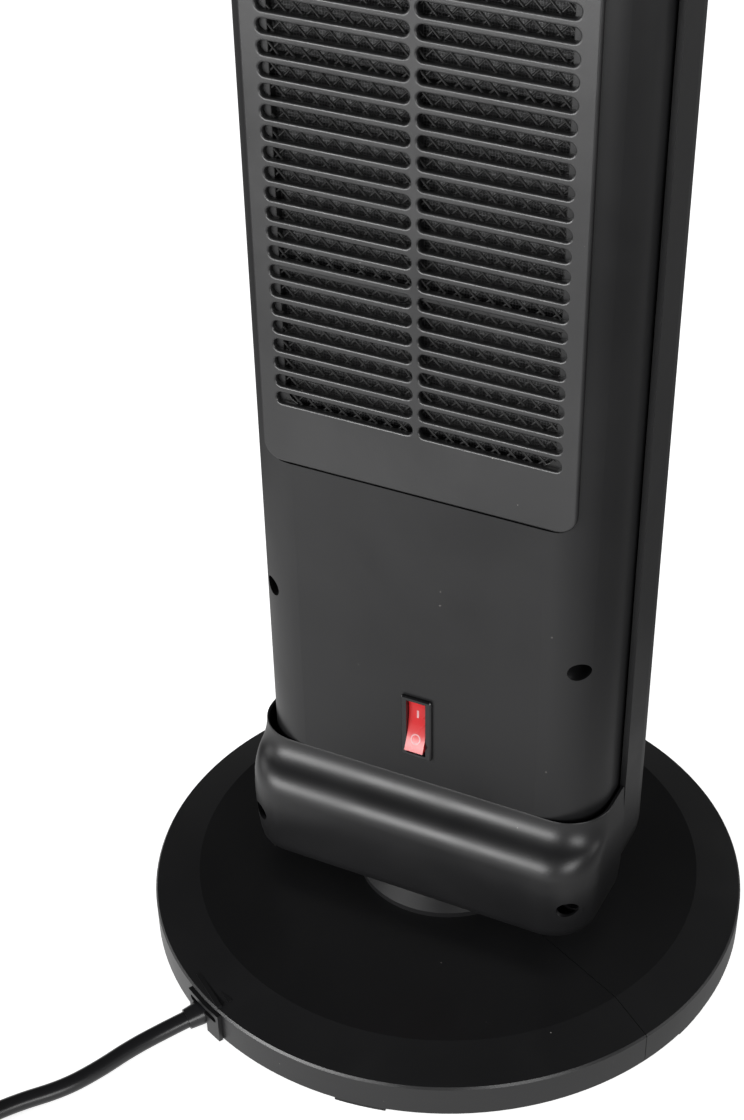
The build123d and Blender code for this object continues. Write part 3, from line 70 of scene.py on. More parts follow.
def direction(azimuth, elevation):
    """The way out from the object at these degrees; azimuth 0 is in front of it."""
    turn = math.radians(azimuth)
    rise = math.radians(elevation)
    return Vector((math.sin(turn) * math.cos(rise), -math.cos(turn) * math.cos(rise), math.sin(rise)))


def make_camera():
    back = direction(camera_azimuth, camera_elevation)
    roll = math.radians(camera_roll)
    right = (-back).cross(Vector((0, 0, 1))).normalized()
    up = right.cross(-back)
    turned_right = right * math.cos(roll) + up * math.sin(roll)
    turned_up = up * math.cos(roll) - right * math.sin(roll)
    data = bpy.data.cameras.new("camera")
    data.sensor_fit = "AUTO"
    data.sensor_width = sensor_width
    data.lens = focal_pixels * sensor_width / image_height
    data.shift_x = (image_width / 2 - centre_x) / image_height
    data.shift_y = (centre_y - image_height / 2) / image_height
    data.clip_start = nearest_seen
    camera = bpy.data.objects.new("camera", data)
    bpy.context.scene.collection.objects.link(camera)
    place = Matrix((turned_right, turned_up, back)).transposed().to_4x4()
    place.translation = camera_place
    camera.matrix_world = place
    bpy.context.scene.camera = camera


make_camera()

# Lamps: a wide soft box behind the heater, one off its rear corner, dimmer ones for the other sides
lit_point = Vector((0, 0, 0.2))
# Name, azimuth, elevation, distance from the lit point, width and height, radiance
lamps = (
    ("softbox_rear", 156, 6, 2.0, (1.9, 0.6), 13.0),
    ("softbox_corner", 229, 9, 2.0, (0.8, 0.7), 8.0),
    ("softbox_side", 104, 8, 2.4, (0.8, 1.0), 2.0),
    ("softbox_far_side", -72, 14, 2.2, (1.2, 1.2), 2.4),
    ("softbox_front", -28, 5, 2.4, (1.2, 0.7), 1.3),
)


def area_light(name, azimuth, elevation, distance, size, radiance):
    """A rectangular soft box that faces the lit point from this direction."""
    way = direction(azimuth, elevation)
    data = bpy.data.lights.new(name, "AREA")
    data.shape = "RECTANGLE"
    data.size, data.size_y = size
    data.energy = radiance * math.pi * size[0] * size[1]
    light = bpy.data.objects.new(name, data)
    bpy.context.scene.collection.objects.link(light)
    light.location = lit_point + way * distance
    light.rotation_euler = (-way).to_track_quat("-Z", "Y").to_euler()


for lamp in lamps:
    area_light(*lamp)


# Helpers for node trees
def link(tree, source, target):
    tree.links.new(source, target)


def maths(tree, operation, *values):
    """A maths node whose inputs are numbers or sockets."""
    node = tree.nodes.new("ShaderNodeMath")
    node.operation = operation
    for socket, value in zip(node.inputs, values):
        if isinstance(value, (int, float)):
            socket.default_value = value
        else:
            link(tree, value, socket)
    return node.outputs["Value"]


def ramp_between(tree, value, low, high, at_low, at_high):
    """A number that goes smoothly from at_low to at_high while value goes from low to high."""
    node = tree.nodes.new("ShaderNodeMapRange")
    node.interpolation_type = "SMOOTHSTEP"
    link(tree, value, node.inputs["Value"])
    node.inputs["From Min"].default_value = low
    node.inputs["From Max"].default_value = high
    node.inputs["To Min"].default_value = at_low
    node.inputs["To Max"].default_value = at_high
    return node.outputs["Result"]


def blend_colours(tree, share, first, second):
    """first where share is 0 and second where it is 1; either may be a colour or a socket."""
    node = tree.nodes.new("ShaderNodeMixRGB")
    link(tree, share, node.inputs["Fac"])
    for socket, colour in ((node.inputs["Color1"], first), (node.inputs["Color2"], second)):
        if isinstance(colour, tuple):
            socket.default_value = (*colour, 1)
        else:
            link(tree, colour, socket)
    return node.outputs["Color"]


def scaled(colour, factor):
    return tuple(min(channel * factor, 1) for channel in colour)


def noise(tree, scale, detail, distortion=0.0):
    node = tree.nodes.new("ShaderNodeTexNoise")
    node.inputs["Scale"].default_value = scale
    node.inputs["Detail"].default_value = detail
    node.inputs["Distortion"].default_value = distortion
    return node


def bumped(tree, height, strength, distance):
    node = tree.nodes.new("ShaderNodeBump")
    node.inputs["Strength"].default_value = strength
    node.inputs["Distance"].default_value = distance
    link(tree, height, node.inputs["Height"])
    return node.outputs["Normal"]


# Surroundings: a room that is white to the camera, dim overhead and lighter at the level in reflections
room_level_glow = 0.16
room_high_glow = 0.03
room_dim_above = 0.35
room_soft_light = 0.5
white = (1, 1, 1, 1)


def make_world():
    world = bpy.data.worlds.new("studio")
    bpy.context.scene.world = world
    world.use_nodes = True
    tree = world.node_tree
    tree.nodes.clear()
    output = tree.nodes.new("ShaderNodeOutputWorld")
    sky = tree.nodes.new("ShaderNodeBackground")
    sky.inputs["Color"].default_value = white
    split = tree.nodes.new("ShaderNodeSeparateXYZ")
    place = tree.nodes.new("ShaderNodeTexCoord")
    rays = tree.nodes.new("ShaderNodeLightPath")
    link(tree, place.outputs["Generated"], split.inputs["Vector"])
    mirrored = ramp_between(tree, split.outputs["Z"], 0.0, room_dim_above, room_level_glow, room_high_glow)
    glossy = maths(tree, "MULTIPLY", mirrored, rays.outputs["Is Glossy Ray"])
    soft = maths(tree, "MULTIPLY", rays.outputs["Is Diffuse Ray"], room_soft_light)
    seen = maths(tree, "MAXIMUM", rays.outputs["Is Camera Ray"], rays.outputs["Is Transmission Ray"])
    strength = maths(tree, "ADD", maths(tree, "ADD", glossy, soft), seen)
    link(tree, strength, sky.inputs["Strength"])
    link(tree, sky.outputs["Background"], output.inputs["Surface"])


make_world()

# Floor: keeps the shadow; glossy parts mirror it brightest round one place behind the heater
floor_half = 6.0
floor_drop = 0.0002
floor_white = (0.8, 0.8, 0.8)
floor_white_mirrored = (0.15, 0.15, 0.15)
floor_glow_seen = 0.72
glow_centre = (0.12, 0.30, 0.0)
glow_fades_from = 0.18
glow_fades_to = 0.62
glow_at_centre = 0.80
glow_far_off = 0.03


def make_floor():
    mesh = bpy.data.meshes.new("floor")
    corners = [
        (x * floor_half, y * floor_half, 0) for x, y in ((-1, -1), (1, -1), (1, 1), (-1, 1))
    ]
    mesh.from_pydata(corners, [], [(0, 1, 2, 3)])
    floor = bpy.data.objects.new("floor", mesh)
    bpy.context.scene.collection.objects.link(floor)
    floor.location.z = -floor_drop
    floor.data.materials.append(make_floor_material())


def make_floor_material():
    material = bpy.data.materials.new("floor_white")
    material.use_nodes = True
    tree = material.node_tree
    tree.nodes.clear()
    output = tree.nodes.new("ShaderNodeOutputMaterial")
    diffuse = tree.nodes.new("ShaderNodeBsdfDiffuse")
    glow = tree.nodes.new("ShaderNodeEmission")
    glow.inputs["Color"].default_value = white
    add = tree.nodes.new("ShaderNodeAddShader")
    rays = tree.nodes.new("ShaderNodeLightPath")
    place = tree.nodes.new("ShaderNodeTexCoord")
    distance = tree.nodes.new("ShaderNodeVectorMath")
    distance.operation = "DISTANCE"
    distance.inputs[1].default_value = glow_centre
    link(tree, place.outputs["Object"], distance.inputs[0])
    near = ramp_between(
        tree, distance.outputs["Value"], glow_fades_from, glow_fades_to, glow_at_centre, glow_far_off
    )
    mirrored = maths(tree, "MULTIPLY", near, rays.outputs["Is Glossy Ray"])
    seen = maths(tree, "MAXIMUM", rays.outputs["Is Camera Ray"], rays.outputs["Is Transmission Ray"])
    strength = maths(tree, "ADD", mirrored, maths(tree, "MULTIPLY", seen, floor_glow_seen))
    whites = blend_colours(tree, rays.outputs["Is Glossy Ray"], floor_white, floor_white_mirrored)
    link(tree, whites, diffuse.inputs["Color"])
    link(tree, strength, glow.inputs["Strength"])
    link(tree, diffuse.outputs["BSDF"], add.inputs[0])
    link(tree, glow.outputs["Emission"], add.inputs[1])
    link(tree, add.outputs["Shader"], output.inputs["Surface"])
    return material


make_floor()

# Materials: scales are per metre, heights in metres, and a speck's size is a share of its cell
grain_detail = 3
grain_height = 0.0001
smudge_scale = 16
smudge_detail = 5
smudge_distortion = 0.6
smudge_low = 0.3
smudge_high = 0.7
speck_scale = 190
speck_size = 0.045
speck_colour = (0.22, 0.21, 0.2)
coat_roughness = 0.1


def principled(name, colour, roughness, specular=0.5, metallic=0.0):
    material = bpy.data.materials.new(name)
    material.use_nodes = True
    shader = material.node_tree.nodes["Principled BSDF"]
    shader.inputs["Base Color"].default_value = (*colour, 1)
    shader.inputs["Roughness"].default_value = roughness
    shader.inputs["Specular IOR Level"].default_value = specular
    shader.inputs["Metallic"].default_value = metallic
    return material


def dusted(tree, place, tint, dust):
    """The tint with specks in this share of the small cells."""
    cells = tree.nodes.new("ShaderNodeTexVoronoi")
    cells.inputs["Scale"].default_value = speck_scale
    link(tree, place, cells.inputs["Vector"])
    small = maths(tree, "LESS_THAN", cells.outputs["Distance"], speck_size)
    draw = tree.nodes.new("ShaderNodeSeparateColor")
    link(tree, cells.outputs["Color"], draw.inputs["Color"])
    rare = maths(tree, "LESS_THAN", draw.outputs["Red"], dust)
    return blend_colours(tree, maths(tree, "MULTIPLY", small, rare), tint, speck_colour)


def grained(
    name, colour, roughness, grain=0.6, depth=0.15, variation=0.12, uneven=0.12, specular=0.5,
    metallic=0.0, coat=0.0, dust=0.0,
):
    """Moulded plastic, rubber or metal: fine grain in mm, soft smudges in its gloss, and specks of dust."""
    material = principled(name, colour, roughness, specular, metallic)
    tree = material.node_tree
    shader = tree.nodes["Principled BSDF"]
    if coat:
        shader.inputs["Coat Weight"].default_value = coat
        shader.inputs["Coat Roughness"].default_value = coat_roughness
    place = tree.nodes.new("ShaderNodeTexCoord").outputs["Object"]
    fine = noise(tree, 1 / (grain * MM), grain_detail)
    broad = noise(tree, smudge_scale, smudge_detail, smudge_distortion)
    link(tree, place, fine.inputs["Vector"])
    link(tree, place, broad.inputs["Vector"])
    tint = blend_colours(
        tree, broad.outputs["Fac"], scaled(colour, 1 - variation), scaled(colour, 1 + variation)
    )
    if dust:
        tint = dusted(tree, place, tint, dust)
    link(tree, tint, shader.inputs["Base Color"])
    low, high = roughness * (1 - uneven), min(roughness * (1 + uneven), 1)
    gloss = ramp_between(tree, broad.outputs["Fac"], smudge_low, smudge_high, low, high)
    link(tree, gloss, shader.inputs["Roughness"])
    link(tree, bumped(tree, fine.outputs["Fac"], depth, grain_height), shader.inputs["Normal"])
    return material


finishes = {
    "black_satin_plastic": dict(colour=(0.0065, 0.0065, 0.007), roughness=0.38, depth=0.3, dust=0.07),
    "black_gloss_plastic": dict(colour=(0.006, 0.006, 0.0065), roughness=0.14, depth=0.03),
    "foot_rubber": dict(colour=(0.012, 0.012, 0.012), roughness=0.85, depth=0.3),
    "zinc_steel": dict(colour=(0.60, 0.60, 0.58), roughness=0.34, metallic=1.0, depth=0.1),
    "dark_screw_steel": dict(colour=(0.10, 0.10, 0.10), roughness=0.38, metallic=1.0, depth=0.1),
    "motor_steel": dict(colour=(0.30, 0.30, 0.31), roughness=0.4, metallic=0.8, depth=0.1),
    "white_nylon": dict(colour=(0.74, 0.74, 0.70), roughness=0.5, variation=0.03, depth=0.1),
    "grey_plastic": dict(colour=(0.07, 0.07, 0.075), roughness=0.5, depth=0.2),
    "ivory_plastic": dict(colour=(0.62, 0.58, 0.48), roughness=0.5, variation=0.05, depth=0.1),
    "net_nylon": dict(colour=(0.012, 0.012, 0.013), roughness=0.6, depth=0.2),
    "red_rocker_plastic": dict(
        colour=(0.42, 0.010, 0.012), roughness=0.3, variation=0.04, depth=0.03, coat=0.15
    ),
    "heater_ceramic": dict(colour=(0.62, 0.56, 0.46), roughness=0.8, depth=0.3),
    "fin_aluminium": dict(colour=(0.72, 0.72, 0.73), roughness=0.35, metallic=1.0, depth=0.1),
    "smoked_lens": dict(colour=(0.006, 0.006, 0.007), roughness=0.08, depth=0.0),
    "circuit_board": dict(colour=(0.03, 0.14, 0.06), roughness=0.5, depth=0.1),
    "button_plastic": dict(colour=(0.016, 0.016, 0.017), roughness=0.42, depth=0.2),
    "cord_rubber": dict(colour=(0.008, 0.008, 0.009), roughness=0.30, depth=0.08, grain=2.0, dust=0.03),
    "tie_plastic": dict(colour=(0.01, 0.01, 0.01), roughness=0.4),
    "plug_plastic": dict(colour=(0.008, 0.008, 0.009), roughness=0.32, depth=0.1),
    "pin_brass": dict(colour=(0.72, 0.56, 0.26), roughness=0.25, metallic=1.0, depth=0.05),
}
materials = {name: grained(name, **finish) for name, finish in finishes.items()}

# Surfaces whose finish differs from the rest of their slot in the photograph. The neck's copy of the black
# satin is darker and duller: painted shade, for the cowl's shadow over the neck
neck_shaded_plastic = grained("neck_shaded_plastic", (0.006, 0.006, 0.0065), 0.5, depth=0.3, specular=0.25)
panel_plastic = grained(
    "intake_panel_plastic", (0.011, 0.011, 0.0115), 0.38, depth=0.35, uneven=0.16, specular=0.72, dust=0.05
)
lattice_plastic = grained("lattice_plastic", (0.006, 0.006, 0.006), 0.30, depth=0.1)
mark_print = grained("mark_print", (0.46, 0.26, 0.27), 0.45, variation=0.03, depth=0.05)

# The net's threads: pitch in millimetres, core and edge in shares of the wave, height in metres
net_pitch = 2.2
net_roughness = 0.5
# The gaps are painted shade: near black, for the shaded inside seen through the net's openings
net_gap_painted_shade = (0.002, 0.002, 0.002)
net_thread_colour = (0.06, 0.06, 0.062)
net_thread_core = 0.25
net_thread_edge = 0.6
net_bump = 0.9
net_thread_height = 0.0004


def make_net_material():
    """Threads along X and Z, as bumps and lighter lines, with painted shade in the gaps between them."""
    material = principled("fine_net", net_gap_painted_shade, net_roughness)
    tree = material.node_tree
    shader = tree.nodes["Principled BSDF"]
    split = tree.nodes.new("ShaderNodeSeparateXYZ")
    link(tree, tree.nodes.new("ShaderNodeTexCoord").outputs["Object"], split.inputs["Vector"])
    waves = []
    for axis in ("X", "Z"):
        turns = maths(tree, "MULTIPLY", split.outputs[axis], math.tau / (net_pitch * MM))
        waves.append(maths(tree, "ABSOLUTE", maths(tree, "SINE", turns)))
    thread = ramp_between(tree, maths(tree, "MINIMUM", *waves), net_thread_core, net_thread_edge, 1.0, 0.0)
    tint = blend_colours(tree, thread, net_gap_painted_shade, net_thread_colour)
    link(tree, tint, shader.inputs["Base Color"])
    link(tree, bumped(tree, thread, net_bump, net_thread_height), shader.inputs["Normal"])
    return material


fine_net = make_net_material()


def dress_nodes():
    for name, node in nodes.items():
        node.data.materials.clear()
        node.data.materials.append(materials[slot_of[name]])
    # The neck takes the darker, duller copy of the black satin: painted shade under the cowl
    nodes["neck_column"].data.materials[0] = neck_shaded_plastic


dress_nodes()


# Helpers for pieces
def finish_piece(name, solid, material, body):
    """Makes an object of a bmesh, in millimetres, and lets it ride on its body."""
    bmesh.ops.recalc_face_normals(solid, faces=solid.faces)
    bmesh.ops.scale(solid, vec=(MM, MM, MM), verts=solid.verts)
    mesh = bpy.data.meshes.new(name)
    solid.to_mesh(mesh)
    solid.free()
    mesh.materials.append(material)
    piece = bpy.data.objects.new(name, mesh)
    bpy.context.scene.collection.objects.link(piece)
    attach(piece, body)
    return piece


def rounded_loop(x, z, half_x, half_z, radius, corner_steps=6):
    """The points of a rounded rectangle, anticlockwise."""
    points = []
    for corner, (side_x, side_z) in enumerate(((1, 1), (-1, 1), (-1, -1), (1, -1))):
        for step in range(corner_steps + 1):
            turn = math.radians(90 * (corner + step / corner_steps))
            points.append((
                x + side_x * (half_x - radius) + radius * math.cos(turn),
                z + side_z * (half_z - radius) + radius * math.sin(turn),
            ))
    return points


def plate(outer, holes, low_y, high_y, edge, arc_steps=3):
    """A plate across the rear with rounded rear edges; every outline is (x, z, half_x, half_z, radius)."""
    profile = [(low_y, 0.0)]
    for step in range(arc_steps + 1):
        turn = math.radians(90 * step / arc_steps)
        profile.append((high_y - edge + edge * math.sin(turn), edge * (1 - math.cos(turn))))
    solid = bmesh.new()
    rims = ([], [])
    for outline, way in [(outer, -1)] + [(hole, 1) for hole in holes]:
        x, z, half_x, half_z, radius = outline
        rings = []
        for y, inset in profile:
            grow = way * inset
            loop = rounded_loop(x, z, half_x + grow, half_z + grow, radius + grow)
            rings.append([solid.verts.new((px, y, pz)) for px, pz in loop])
        for lower, upper in zip(rings, rings[1:]):
            for step in range(len(lower)):
                face = solid.faces.new((lower[step - 1], lower[step], upper[step], upper[step - 1]))
                face.smooth = True
        rims[0].append(rings[0])
        rims[1].append(rings[-1])
    for loops in rims:
        corners = [corner for loop in loops for corner in loop]
        for triangle in tessellate_polygon([[corner.co for corner in loop] for loop in loops]):
            solid.faces.new([corners[index] for index in triangle])
    return solid


def carve(piece, operation, place, radius, start_y, end_y, rod_sides=40):
    """Adds or takes away a round rod along Y at this (x, z), all in millimetres."""
    rod = bmesh.new()
    x, z = place
    matrix = Matrix.Translation((x, (start_y + end_y) / 2, z)) @ Matrix.Rotation(math.pi / 2, 4, "X")
    bmesh.ops.create_cone(
        rod, cap_ends=True, segments=rod_sides, radius1=radius, radius2=radius, depth=end_y - start_y,
        matrix=matrix,
    )
    bmesh.ops.scale(rod, vec=(MM, MM, MM), verts=rod.verts)
    mesh = bpy.data.meshes.new("rod")
    rod.to_mesh(mesh)
    rod.free()
    tool = bpy.data.objects.new("rod", mesh)
    bpy.context.scene.collection.objects.link(tool)
    cut = piece.modifiers.new("cut", "BOOLEAN")
    cut.operation = operation
    cut.solver = "EXACT"
    cut.object = tool
    bpy.context.view_layer.update()
    result = bpy.data.meshes.new_from_object(piece.evaluated_get(bpy.context.evaluated_depsgraph_get()))
    piece.modifiers.clear()
    piece.data = result
    bpy.data.objects.remove(tool)


def smooth(piece, angle):
    """Smooth shading, broken where two faces meet at more than this angle."""
    for face in piece.data.polygons:
        face.use_smooth = True
    piece.data.set_sharp_from_angle(angle=math.radians(angle))


# Intake panel with round-ended slots
panel_centre_z = 395.25
panel_half_width = 65.2
panel_half_height = 159.65
panel_corner = 8.0
panel_back_y = 28.2
panel_face_y = 30.6
slot_half_length = 28.45
slot_half_height = 2.35
slot_centre_x = 29.85
slot_rows = 36
slot_pitch = 7.5
first_slot_z = 264.0
slot_corner = 2.25
slot_edge = 0.85


def make_intake_panel():
    slots = []
    for row in range(slot_rows):
        z = first_slot_z + row * slot_pitch
        for side in (-1, 1):
            slots.append((side * slot_centre_x, z, slot_half_length, slot_half_height, slot_corner))
    outer = (0, panel_centre_z, panel_half_width, panel_half_height, panel_corner)
    solid = plate(outer, slots, panel_back_y, panel_face_y, slot_edge)
    panel = finish_piece("intake_panel", solid, panel_plastic, "rear_intake")
    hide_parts("rear_grille")


make_intake_panel()

# Slanting lattice behind the slots
lattice_pitch = 6.3
lattice_half_width = 55.3
lattice_low_z = 261.0
lattice_high_z = 529.5
lattice_corner = 8.0
strip_width = 0.9
strip_thickness = 0.5
shortest_strip_width = 4.0
# A strip's section, in shares of its half width and of its thickness
strip_section = ((-1, 0.0), (-1, 0.5), (-0.4, 1.0), (0.4, 1.0), (1, 0.5), (1, 0.0))
frame_half_width = 55.9
frame_half_height = 150.1
frame_corner = 1.0
frame_edge = 0.2


def strip(solid, start, end, back_y):
    """A thin ridged strip from start to end, given as (x, z)."""
    start, end = Vector(start), Vector(end)
    side = (end - start).normalized().orthogonal() * strip_width / 2
    rings = []
    for point in (start, end):
        ring = []
        for share, rise in strip_section:
            across = point + side * share
            ring.append(solid.verts.new((across.x, back_y + rise * strip_thickness, across.y)))
        rings.append(ring)
    for step in range(len(strip_section)):
        solid.faces.new((rings[0][step - 1], rings[0][step], rings[1][step], rings[1][step - 1]))
    for ring in rings:
        solid.faces.new(ring)


def make_intake_lattice():
    """Two layers of slanting strips in a thin frame."""
    middle_z = (lattice_low_z + lattice_high_z) / 2
    half_height = (lattice_high_z - lattice_low_z) / 2
    opening = (0, middle_z, lattice_half_width, half_height, lattice_corner)
    outer = (0, panel_centre_z, frame_half_width, frame_half_height, frame_corner)
    solid = plate(outer, [opening], panel_back_y - 2 * strip_thickness, panel_back_y, frame_edge)
    count = int((lattice_half_width + half_height) / lattice_pitch)
    for layer, slant in enumerate((1, -1)):
        back_y = panel_back_y - (layer + 1) * strip_thickness
        for index in range(-count, count + 1):
            across = index * lattice_pitch
            low = max(-lattice_half_width, -half_height - across)
            high = min(lattice_half_width, half_height - across)
            if high - low >= shortest_strip_width:
                ends = [(x * slant, middle_z + x + across) for x in (low, high)]
                strip(solid, *ends, back_y)
    finish_piece("intake_lattice", solid, lattice_plastic, "rear_intake")


make_intake_lattice()

# Fine net behind the lattice, as large as the solid's
net_corner = 1.0
net_edge = 0.1


def make_intake_net():
    low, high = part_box("dust_net")
    middle_z = (low.z + high.z) / 2 / MM
    half_width = (high.x - low.x) / 2 / MM
    half_height = (high.z - low.z) / 2 / MM
    outer = (0, middle_z, half_width, half_height, net_corner)
    solid = plate(outer, [], low.y / MM, high.y / MM, net_edge)
    net = finish_piece("intake_net", solid, fine_net, "rear_intake")
    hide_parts("dust_net")


make_intake_net()

# Rear cowl: its step is softer than the solid's, flush with the wall between the corners
cowl_front_y = -2.2
cowl_low_z = 37.7
cowl_step_z = 69.8
cowl_lip_z = 93.8
cowl_floor = 2.0
cowl_wall = 1.6
cowl_lip_round = 0.35
cowl_flush_y = 30.62
cowl_step_width = 81.6
cowl_step_depth = 43.3
cowl_step_corner = 20.8
cowl_lip_width = 80.7
cowl_lip_depth = 30.75
cowl_lip_corner = 20.0
# Height, half width, rear depth and corner radius below the step, from the bottom edge up
cowl_skirt = (
    (cowl_low_z, 79.2, 40.9, 18.8),
    (38.3, 79.7, 41.4, 18.9),
    (42.0, 80.4, 42.0, 19.2),
    (48.0, 81.0, 42.7, 19.8),
    (54.0, 81.4, 43.2, 20.3),
    (60.0, 81.6, 43.5, 20.6),
    (65.0, 81.7, 43.55, 20.8),
)
cowl_floor_level = 2
cowl_arc_steps = 10
cowl_side_steps = 4
cowl_corner_steps = 16
cowl_rear_steps = 6
cowl_sharp_angle = 38
neck_hole_radius = 36.0
neck_hole_steps = 32
cowl_screw_x = 73.2
cowl_screw_z = 54.8
cowl_screw_radius = 4.0
cowl_screw_start = 7.0
cowl_screw_end = 60.0
cowl_sleeve_radius = 5.6
cowl_sleeve_start = 8.0
cowl_sleeve_end = 33.0


def cowl_levels():
    """The skirt's levels, and above them two equal arcs that lead back to the wall."""
    rise = cowl_lip_z - cowl_step_z
    depth = cowl_step_depth - cowl_lip_depth
    turned = 2 * math.atan(depth / rise)
    radius = rise / (2 * math.sin(turned))
    levels = list(cowl_skirt)
    for index in range(2 * cowl_arc_steps + 1):
        angle = turned * (1 - abs(index / cowl_arc_steps - 1))
        along = radius * math.sin(angle)
        inwards = radius * (1 - math.cos(angle)) / depth
        if index <= cowl_arc_steps:
            z = cowl_step_z + along
            share = 1 - inwards
        else:
            z = cowl_lip_z - along
            share = inwards
        levels.append((
            z,
            cowl_lip_width + (cowl_step_width - cowl_lip_width) * share,
            cowl_lip_depth + depth * share,
            cowl_lip_corner + (cowl_step_corner - cowl_lip_corner) * share,
        ))
    return levels


def cowl_outline(half, rear, corner, drawn_in=0, flush=0):
    """The cowl seen from above: one side, a rear corner, and the rear wall, mirrored to the other side."""
    half -= drawn_in
    rear = max(rear - drawn_in, flush)
    corner -= drawn_in
    middle_y = rear - corner
    side_length = middle_y - cowl_front_y
    points = [(half, cowl_front_y + side_length * step / cowl_side_steps) for step in range(cowl_side_steps)]
    for step in range(cowl_corner_steps + 1):
        turn = math.radians(90 * step / cowl_corner_steps)
        points.append((half - corner + corner * math.cos(turn), middle_y + corner * math.sin(turn)))
    for step in range(1, cowl_rear_steps + 1):
        points.append(((half - corner) * (1 - step / cowl_rear_steps), rear))
    return points + [(-x, y) for x, y in reversed(points[:-1])]


def neck_notch():
    """The arc cut out of the cowl's floor round the neck."""
    reach = math.sqrt(neck_hole_radius ** 2 - cowl_front_y ** 2)
    spread = math.atan2(cowl_front_y, reach)
    notch = []
    for step in range(neck_hole_steps + 1):
        turn = spread + (math.pi - 2 * spread) * step / neck_hole_steps
        notch.append((neck_hole_radius * math.cos(turn), neck_hole_radius * math.sin(turn)))
    return notch


def make_rear_cowl():
    levels = cowl_levels()
    solid = bmesh.new()

    def ring(z, outline):
        return [solid.verts.new((x, y, z)) for x, y in outline]

    def wall(lower, upper):
        for step in range(1, len(lower)):
            solid.faces.new((lower[step - 1], lower[step], upper[step], upper[step - 1]))

    rings = [ring(level[0], cowl_outline(*level[1:])) for level in levels[:-1]]
    lip_z, *lip_outline = levels[-1]
    rings.append(ring(lip_z - cowl_lip_round, cowl_outline(*lip_outline)))
    rings.append(ring(lip_z, cowl_outline(*lip_outline, cowl_lip_round, cowl_flush_y)))
    for z, *outline in reversed(levels[cowl_floor_level + 1:]):
        rings.append(ring(z, cowl_outline(*outline, cowl_wall, cowl_flush_y)))
    floor_z = cowl_low_z + cowl_floor
    floor_outline = cowl_skirt[cowl_floor_level][1:]
    rings.append(ring(floor_z, cowl_outline(*floor_outline, cowl_wall, cowl_flush_y)))
    for lower, upper in zip(rings, rings[1:]):
        wall(lower, upper)
    low_notch = ring(cowl_low_z, neck_notch())
    high_notch = ring(floor_z, neck_notch())
    wall(low_notch, high_notch)
    for edge, notch in ((rings[0], low_notch), (rings[-1], high_notch)):
        solid.faces.new(edge + notch[::-1])
    for end in (0, -1):
        solid.faces.new([row[end] for row in rings] + [high_notch[end], low_notch[end]])
    satin = materials["black_satin_plastic"]
    cowl = finish_piece("lower_rear_cowl", solid, satin, "tower")
    for side in (-1, 1):
        place = (side * cowl_screw_x, cowl_screw_z)
        carve(cowl, "UNION", place, cowl_sleeve_radius, cowl_sleeve_start, cowl_sleeve_end)
        carve(cowl, "DIFFERENCE", place, cowl_screw_radius, cowl_screw_start, cowl_screw_end)
    smooth(cowl, cowl_sharp_angle)
    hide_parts("rear_cowl")


make_rear_cowl()

# Printed marks on the rocker
mark_thickness = 0.1
rocker_centre_z = 122.5
line_mark_width = 0.9
line_mark_height = 3.8
line_mark_rise = 6.2
line_mark_steps = 6
ring_mark_outer = 2.2
ring_mark_inner = 1.7
ring_mark_drop = 5.4
ring_mark_steps = 36


def printed_mark(name, rows, closed, surface):
    """A thin closed shell that follows the rocker's dished face; rows hold pairs of (x, z)."""
    solid = bmesh.new()
    pairs = []
    for row in rows:
        pair = []
        for x, z in row:
            face_y = surface.ray_cast(Vector((x * MM, 1, z * MM)), Vector((0, -1, 0)))[0].y / MM
            pair.append([solid.verts.new((x, face_y + side * mark_thickness / 2, z)) for side in (-1, 1)])
        pairs.append(pair)
    steps = list(zip(pairs, pairs[1:] + pairs[:1]))
    if not closed:
        steps.pop()
        for first, second in (pairs[0], pairs[-1]):
            solid.faces.new((first[0], first[1], second[1], second[0]))
    for (left, right), (next_left, next_right) in steps:
        solid.faces.new((left[1], right[1], next_right[1], next_left[1]))
        solid.faces.new((left[0], next_left[0], next_right[0], right[0]))
        solid.faces.new((left[0], left[1], next_left[1], next_left[0]))
        solid.faces.new((right[0], next_right[0], next_right[1], right[1]))
    finish_piece(name, solid, mark_print, "rocker")


def make_rocker_marks():
    rocker = nodes["switch_rocker"].data
    surface = BVHTree.FromPolygons(
        [vertex.co for vertex in rocker.vertices], [tuple(face.vertices) for face in rocker.polygons]
    )
    line_low = rocker_centre_z + line_mark_rise - line_mark_height / 2
    line_rows = []
    for step in range(line_mark_steps + 1):
        z = line_low + line_mark_height * step / line_mark_steps
        line_rows.append([(-line_mark_width / 2, z), (line_mark_width / 2, z)])
    printed_mark("rocker_mark_on", line_rows, False, surface)
    ring_z = rocker_centre_z - ring_mark_drop
    ring_rows = []
    for step in range(ring_mark_steps):
        turn = math.tau * step / ring_mark_steps
        ring_rows.append([
            (radius * math.cos(turn), ring_z + radius * math.sin(turn))
            for radius in (ring_mark_inner, ring_mark_outer)
        ])
    printed_mark("rocker_mark_off", ring_rows, True, surface)


make_rocker_marks()

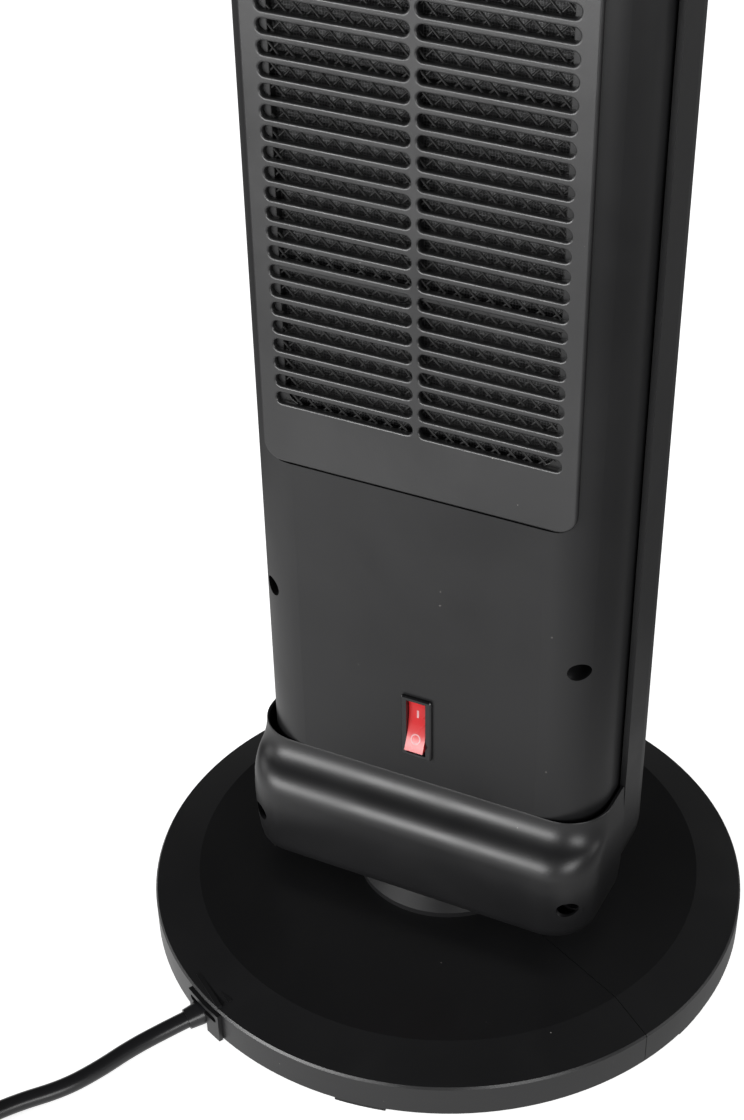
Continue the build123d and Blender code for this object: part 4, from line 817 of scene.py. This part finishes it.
# Mains cord: free stretch and coil on one smooth line
cord_diameter = 7.5
free_route = [
    (65.39, 124.21, 6.66), (72.38, 133.82, 4.99), (79.9, 147.5, 4.3), (85.6, 161.8, 3.8), (93.5, 177.5, 3.8),
    (107.5, 193.0, 3.8), (118.0, 210.0, 4.0), (128.9, 225.8, 4.65), (138.2, 237.5, 4.65),
]
coil_centre = (104.0, 276.0)
coil_inner_radius = 30.5
coil_turns = 2.5
coil_change_turns = 0.5
coil_spacing = 8.1
coil_start_angle = -40.0
coil_low_z = 4.65
points_per_turn = 16
steps_per_span = 8
cord_round_steps = 6


def coil_route():
    """The coil's centre line: in on the lower layer, up in the half turn, out on the upper layer."""
    total = 2 * coil_turns + coil_change_turns
    steps = int(total * points_per_turn)
    route = []
    for step in range(steps + 1):
        along = total * step / steps
        if along <= coil_turns:
            radius = coil_inner_radius + (coil_turns - along) * coil_spacing
            height = coil_low_z
        elif along < coil_turns + coil_change_turns:
            share = (along - coil_turns) / coil_change_turns
            radius = coil_inner_radius - coil_spacing / 2 * share * (1 - share)
            height = coil_low_z + coil_spacing * share * share * (3 - 2 * share)
        else:
            radius = coil_inner_radius + (along - coil_turns - coil_change_turns) * coil_spacing
            height = coil_low_z + coil_spacing
        angle = math.radians(coil_start_angle + 360 * along)
        route.append((
            coil_centre[0] + radius * math.cos(angle), coil_centre[1] + radius * math.sin(angle), height
        ))
    return route


def make_cord():
    coil = coil_route()
    last = Vector(coil[-1])
    tail = last + (last - Vector(coil[-2])).normalized() * cord_diameter
    route = free_route + coil + [tuple(tail)]
    curve = bpy.data.curves.new("mains_cord", "CURVE")
    curve.dimensions = "3D"
    spline = curve.splines.new("NURBS")
    spline.points.add(len(route) - 1)
    for point, place in zip(spline.points, route):
        point.co = (*(c * MM for c in place), 1)
    spline.order_u = 3
    spline.use_endpoint_u = True
    spline.resolution_u = steps_per_span
    curve.bevel_depth = cord_diameter / 2 * MM
    curve.bevel_resolution = cord_round_steps
    curve.use_fill_caps = True
    cord = bpy.data.objects.new("mains_cord", curve)
    bpy.context.scene.collection.objects.link(cord)
    curve.materials.append(materials["cord_rubber"])
    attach(cord, "base")
    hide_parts("power_cord", "cord_coil")


make_cord()

bpy.context.scene.view_settings.view_transform = "Standard"
